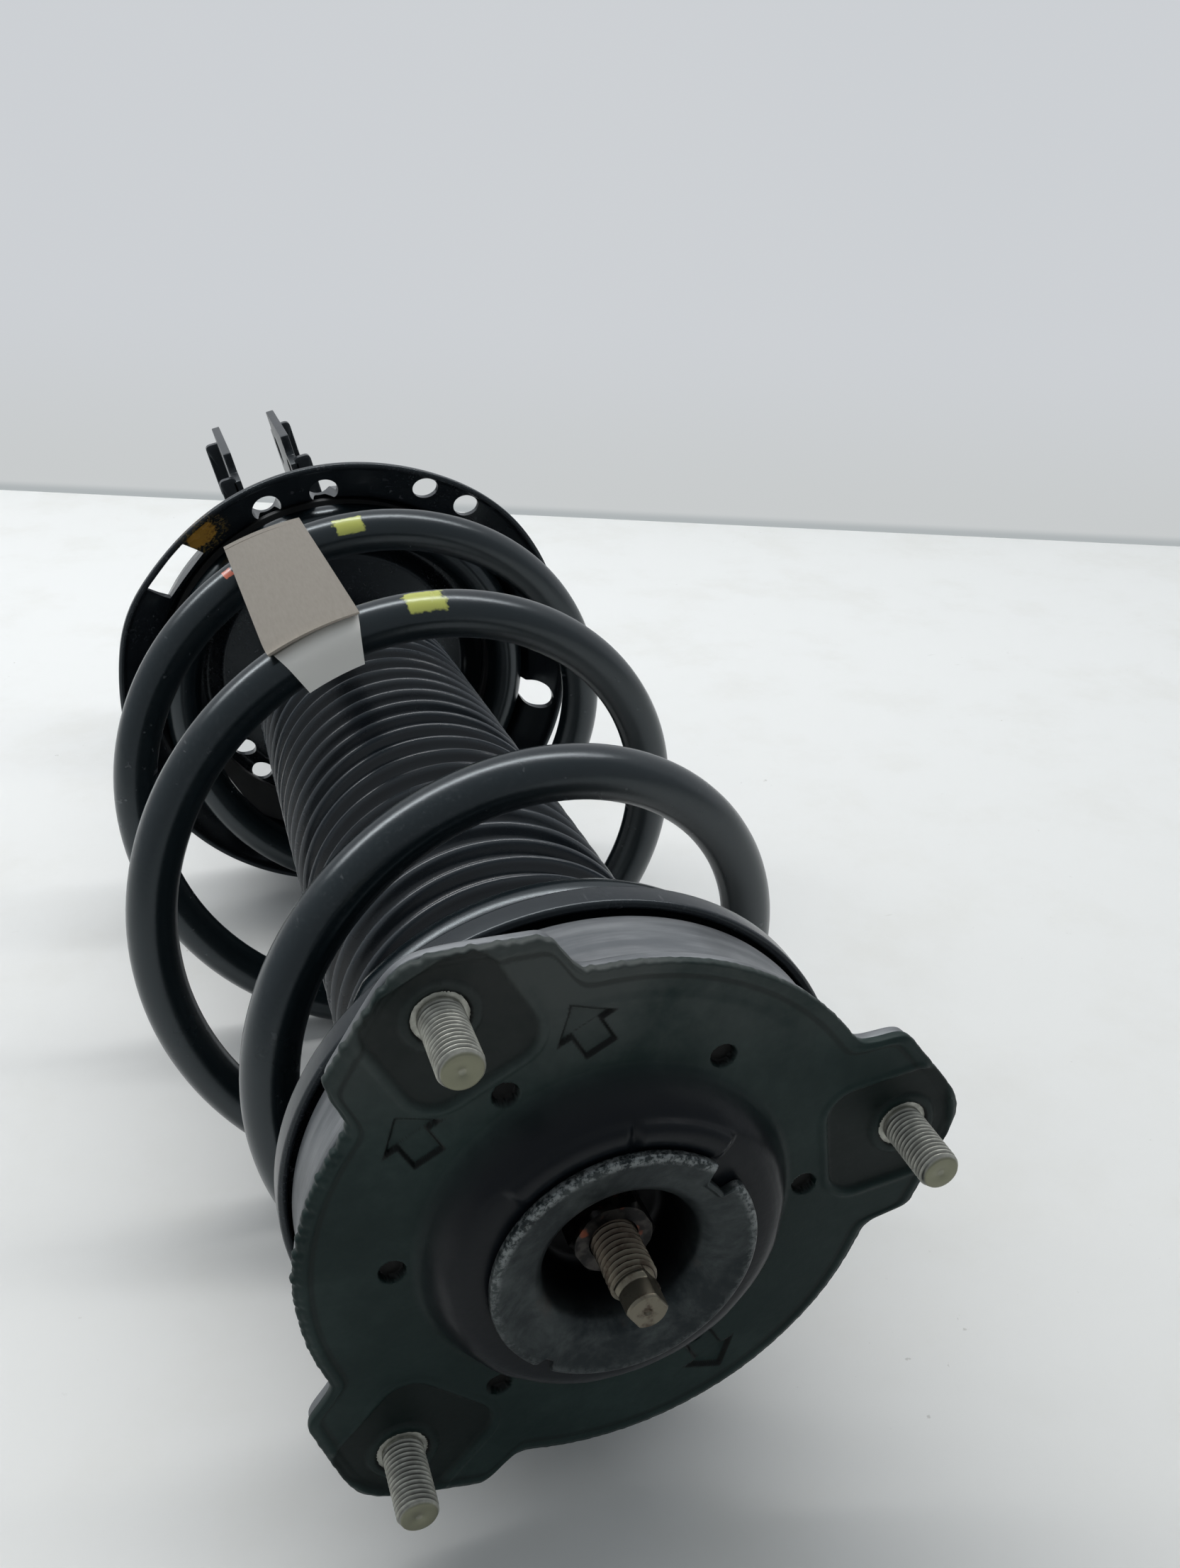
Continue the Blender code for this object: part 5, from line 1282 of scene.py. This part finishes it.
kept = {
    "mount_core": dark_steel, "bump_stop_cup": dark_steel, "piston": dark_steel,
    "rebound_stop": cage_plastic, "bearing_ball_cage": cage_plastic,
    "bearing_upper_race": plain_steel, "bearing_lower_race": plain_steel,
    "piston_nut": plain_steel, "inner_tube": plain_steel,
    "piston_band": sintered, "rod_guide": sintered, "base_valve": sintered,
}
for node_name, finish in kept.items():
    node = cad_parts[node_name]
    node.data.materials.clear()
    node.data.materials.append(finish.material)

# %% [markdown]
# ## The bare label
#
# A metallic paper tag is stuck on one turn, runs straight to the next and folds over it. The
# surface has one coordinate across the tag and one along it. The long way is a path through
# a few rows: over the far turn, straight across the gap, round the near turn, and hanging
# free. Stiff paper can't follow the turn sideways, so one edge stands off the wire.

# %% Label
label_silver = Finish("label_silver", roughness=0.42, metallic=0.35)
weave = label_silver.noise(1.0, 2.0, where=label_silver.stretched(1400.0, 200.0, 200.0))
paper_edge = label_silver.rise(label_silver.part("X", label_silver.uv()), 0.645, 0.675)
label_silver.paint(label_silver.mix(weave, (0.172, 0.152, 0.125), (0.242, 0.218, 0.182)))
label_silver.paint((0.88, 0.86, 0.81), paper_edge)
label_silver.set(Metallic=0.35 - paper_edge * 0.35)


LABEL_ROWS = [
    # near turn, degrees round the wire, hang; then angle and lift at the right and left edges
    (2.2, -29, 0.0, 196.4, 210.0, 1.1, 4.0),
    (2.2, -25, 0.0, 195.2, 211.1, 1.1, 4.1),
    (2.2, -8, 0.0, 195.1, 211.2, 1.1, 4.0),
    (2.2, 8, 0.0, 195.1, 211.2, 1.1, 3.8),
    (1.2, -4, 0.0, 192.4, 209.8, 0.9, 2.4),
    (1.2, 20, 0.0, 192.4, 209.1, 0.3, 0.4),
    (1.2, 50, 0.0, 192.7, 208.4, 0.3, 0.3),
    (1.2, 78, 0.0, 193.2, 207.8, 0.3, 0.3),
    (1.2, 90, 6.8, 194.1, 206.9, 0.6, 0.6),
]


def label_row(near_turn, around, hang, right, left, right_lift, left_lift, share):
    """Centre of the wire, plus its radius and the lift times (outward cos w + towards the
    mount sin w), less the hang."""
    angle = np.radians(right + (left - right) * share)
    turn = FIRST_TURN + (np.radians(231.0) - angle) / (2 * np.pi)
    turn = turn + np.round(near_turn - turn)
    out, w = outward(angle), np.radians(around)
    away = out * np.cos(w) - np.array([0.0, np.sin(w), 0.0])
    lift = WIRE + (right_lift + (left_lift - right_lift) * share) * MM
    return coil_centre(turn) + away * lift[:, None] - out * hang * MM


def smooth_path(knots, steps):
    """Catmull-Rom curves through rows of points; the ends are doubled."""
    knots = np.concatenate([knots[:1], knots, knots[-1:]])
    t = np.linspace(0, 1, steps, endpoint=False)[:, None, None]
    pieces = []
    for a, b, c, d in zip(knots, knots[1:], knots[2:], knots[3:]):
        tension = 0.5 * np.minimum(1.0, 6 * MM / np.linalg.norm(c - b, axis=-1).mean())
        start, end = tension * (c - a), tension * (d - b)
        flat = 2 * t**3 - 3 * t**2
        pieces.append((1 + flat) * b + (t**3 - 2 * t**2 + t) * start - flat * c + (t**3 - t**2) * end)
    return np.concatenate(pieces + [knots[-1:]])


share = np.linspace(0.0, 1.0, 29)
front = smooth_path(np.stack([label_row(*row, share) for row in LABEL_ROWS]), 10)
label = surface(
    "bare_label", front, label_silver, "strut_body", ("spring_label",), wrap=(False, False)
)
thickness = label.modifiers.new("paper", "SOLIDIFY")
thickness.thickness, thickness.offset = 0.3 * MM, 1.0
bake_modifiers(label)
squeeze(label)
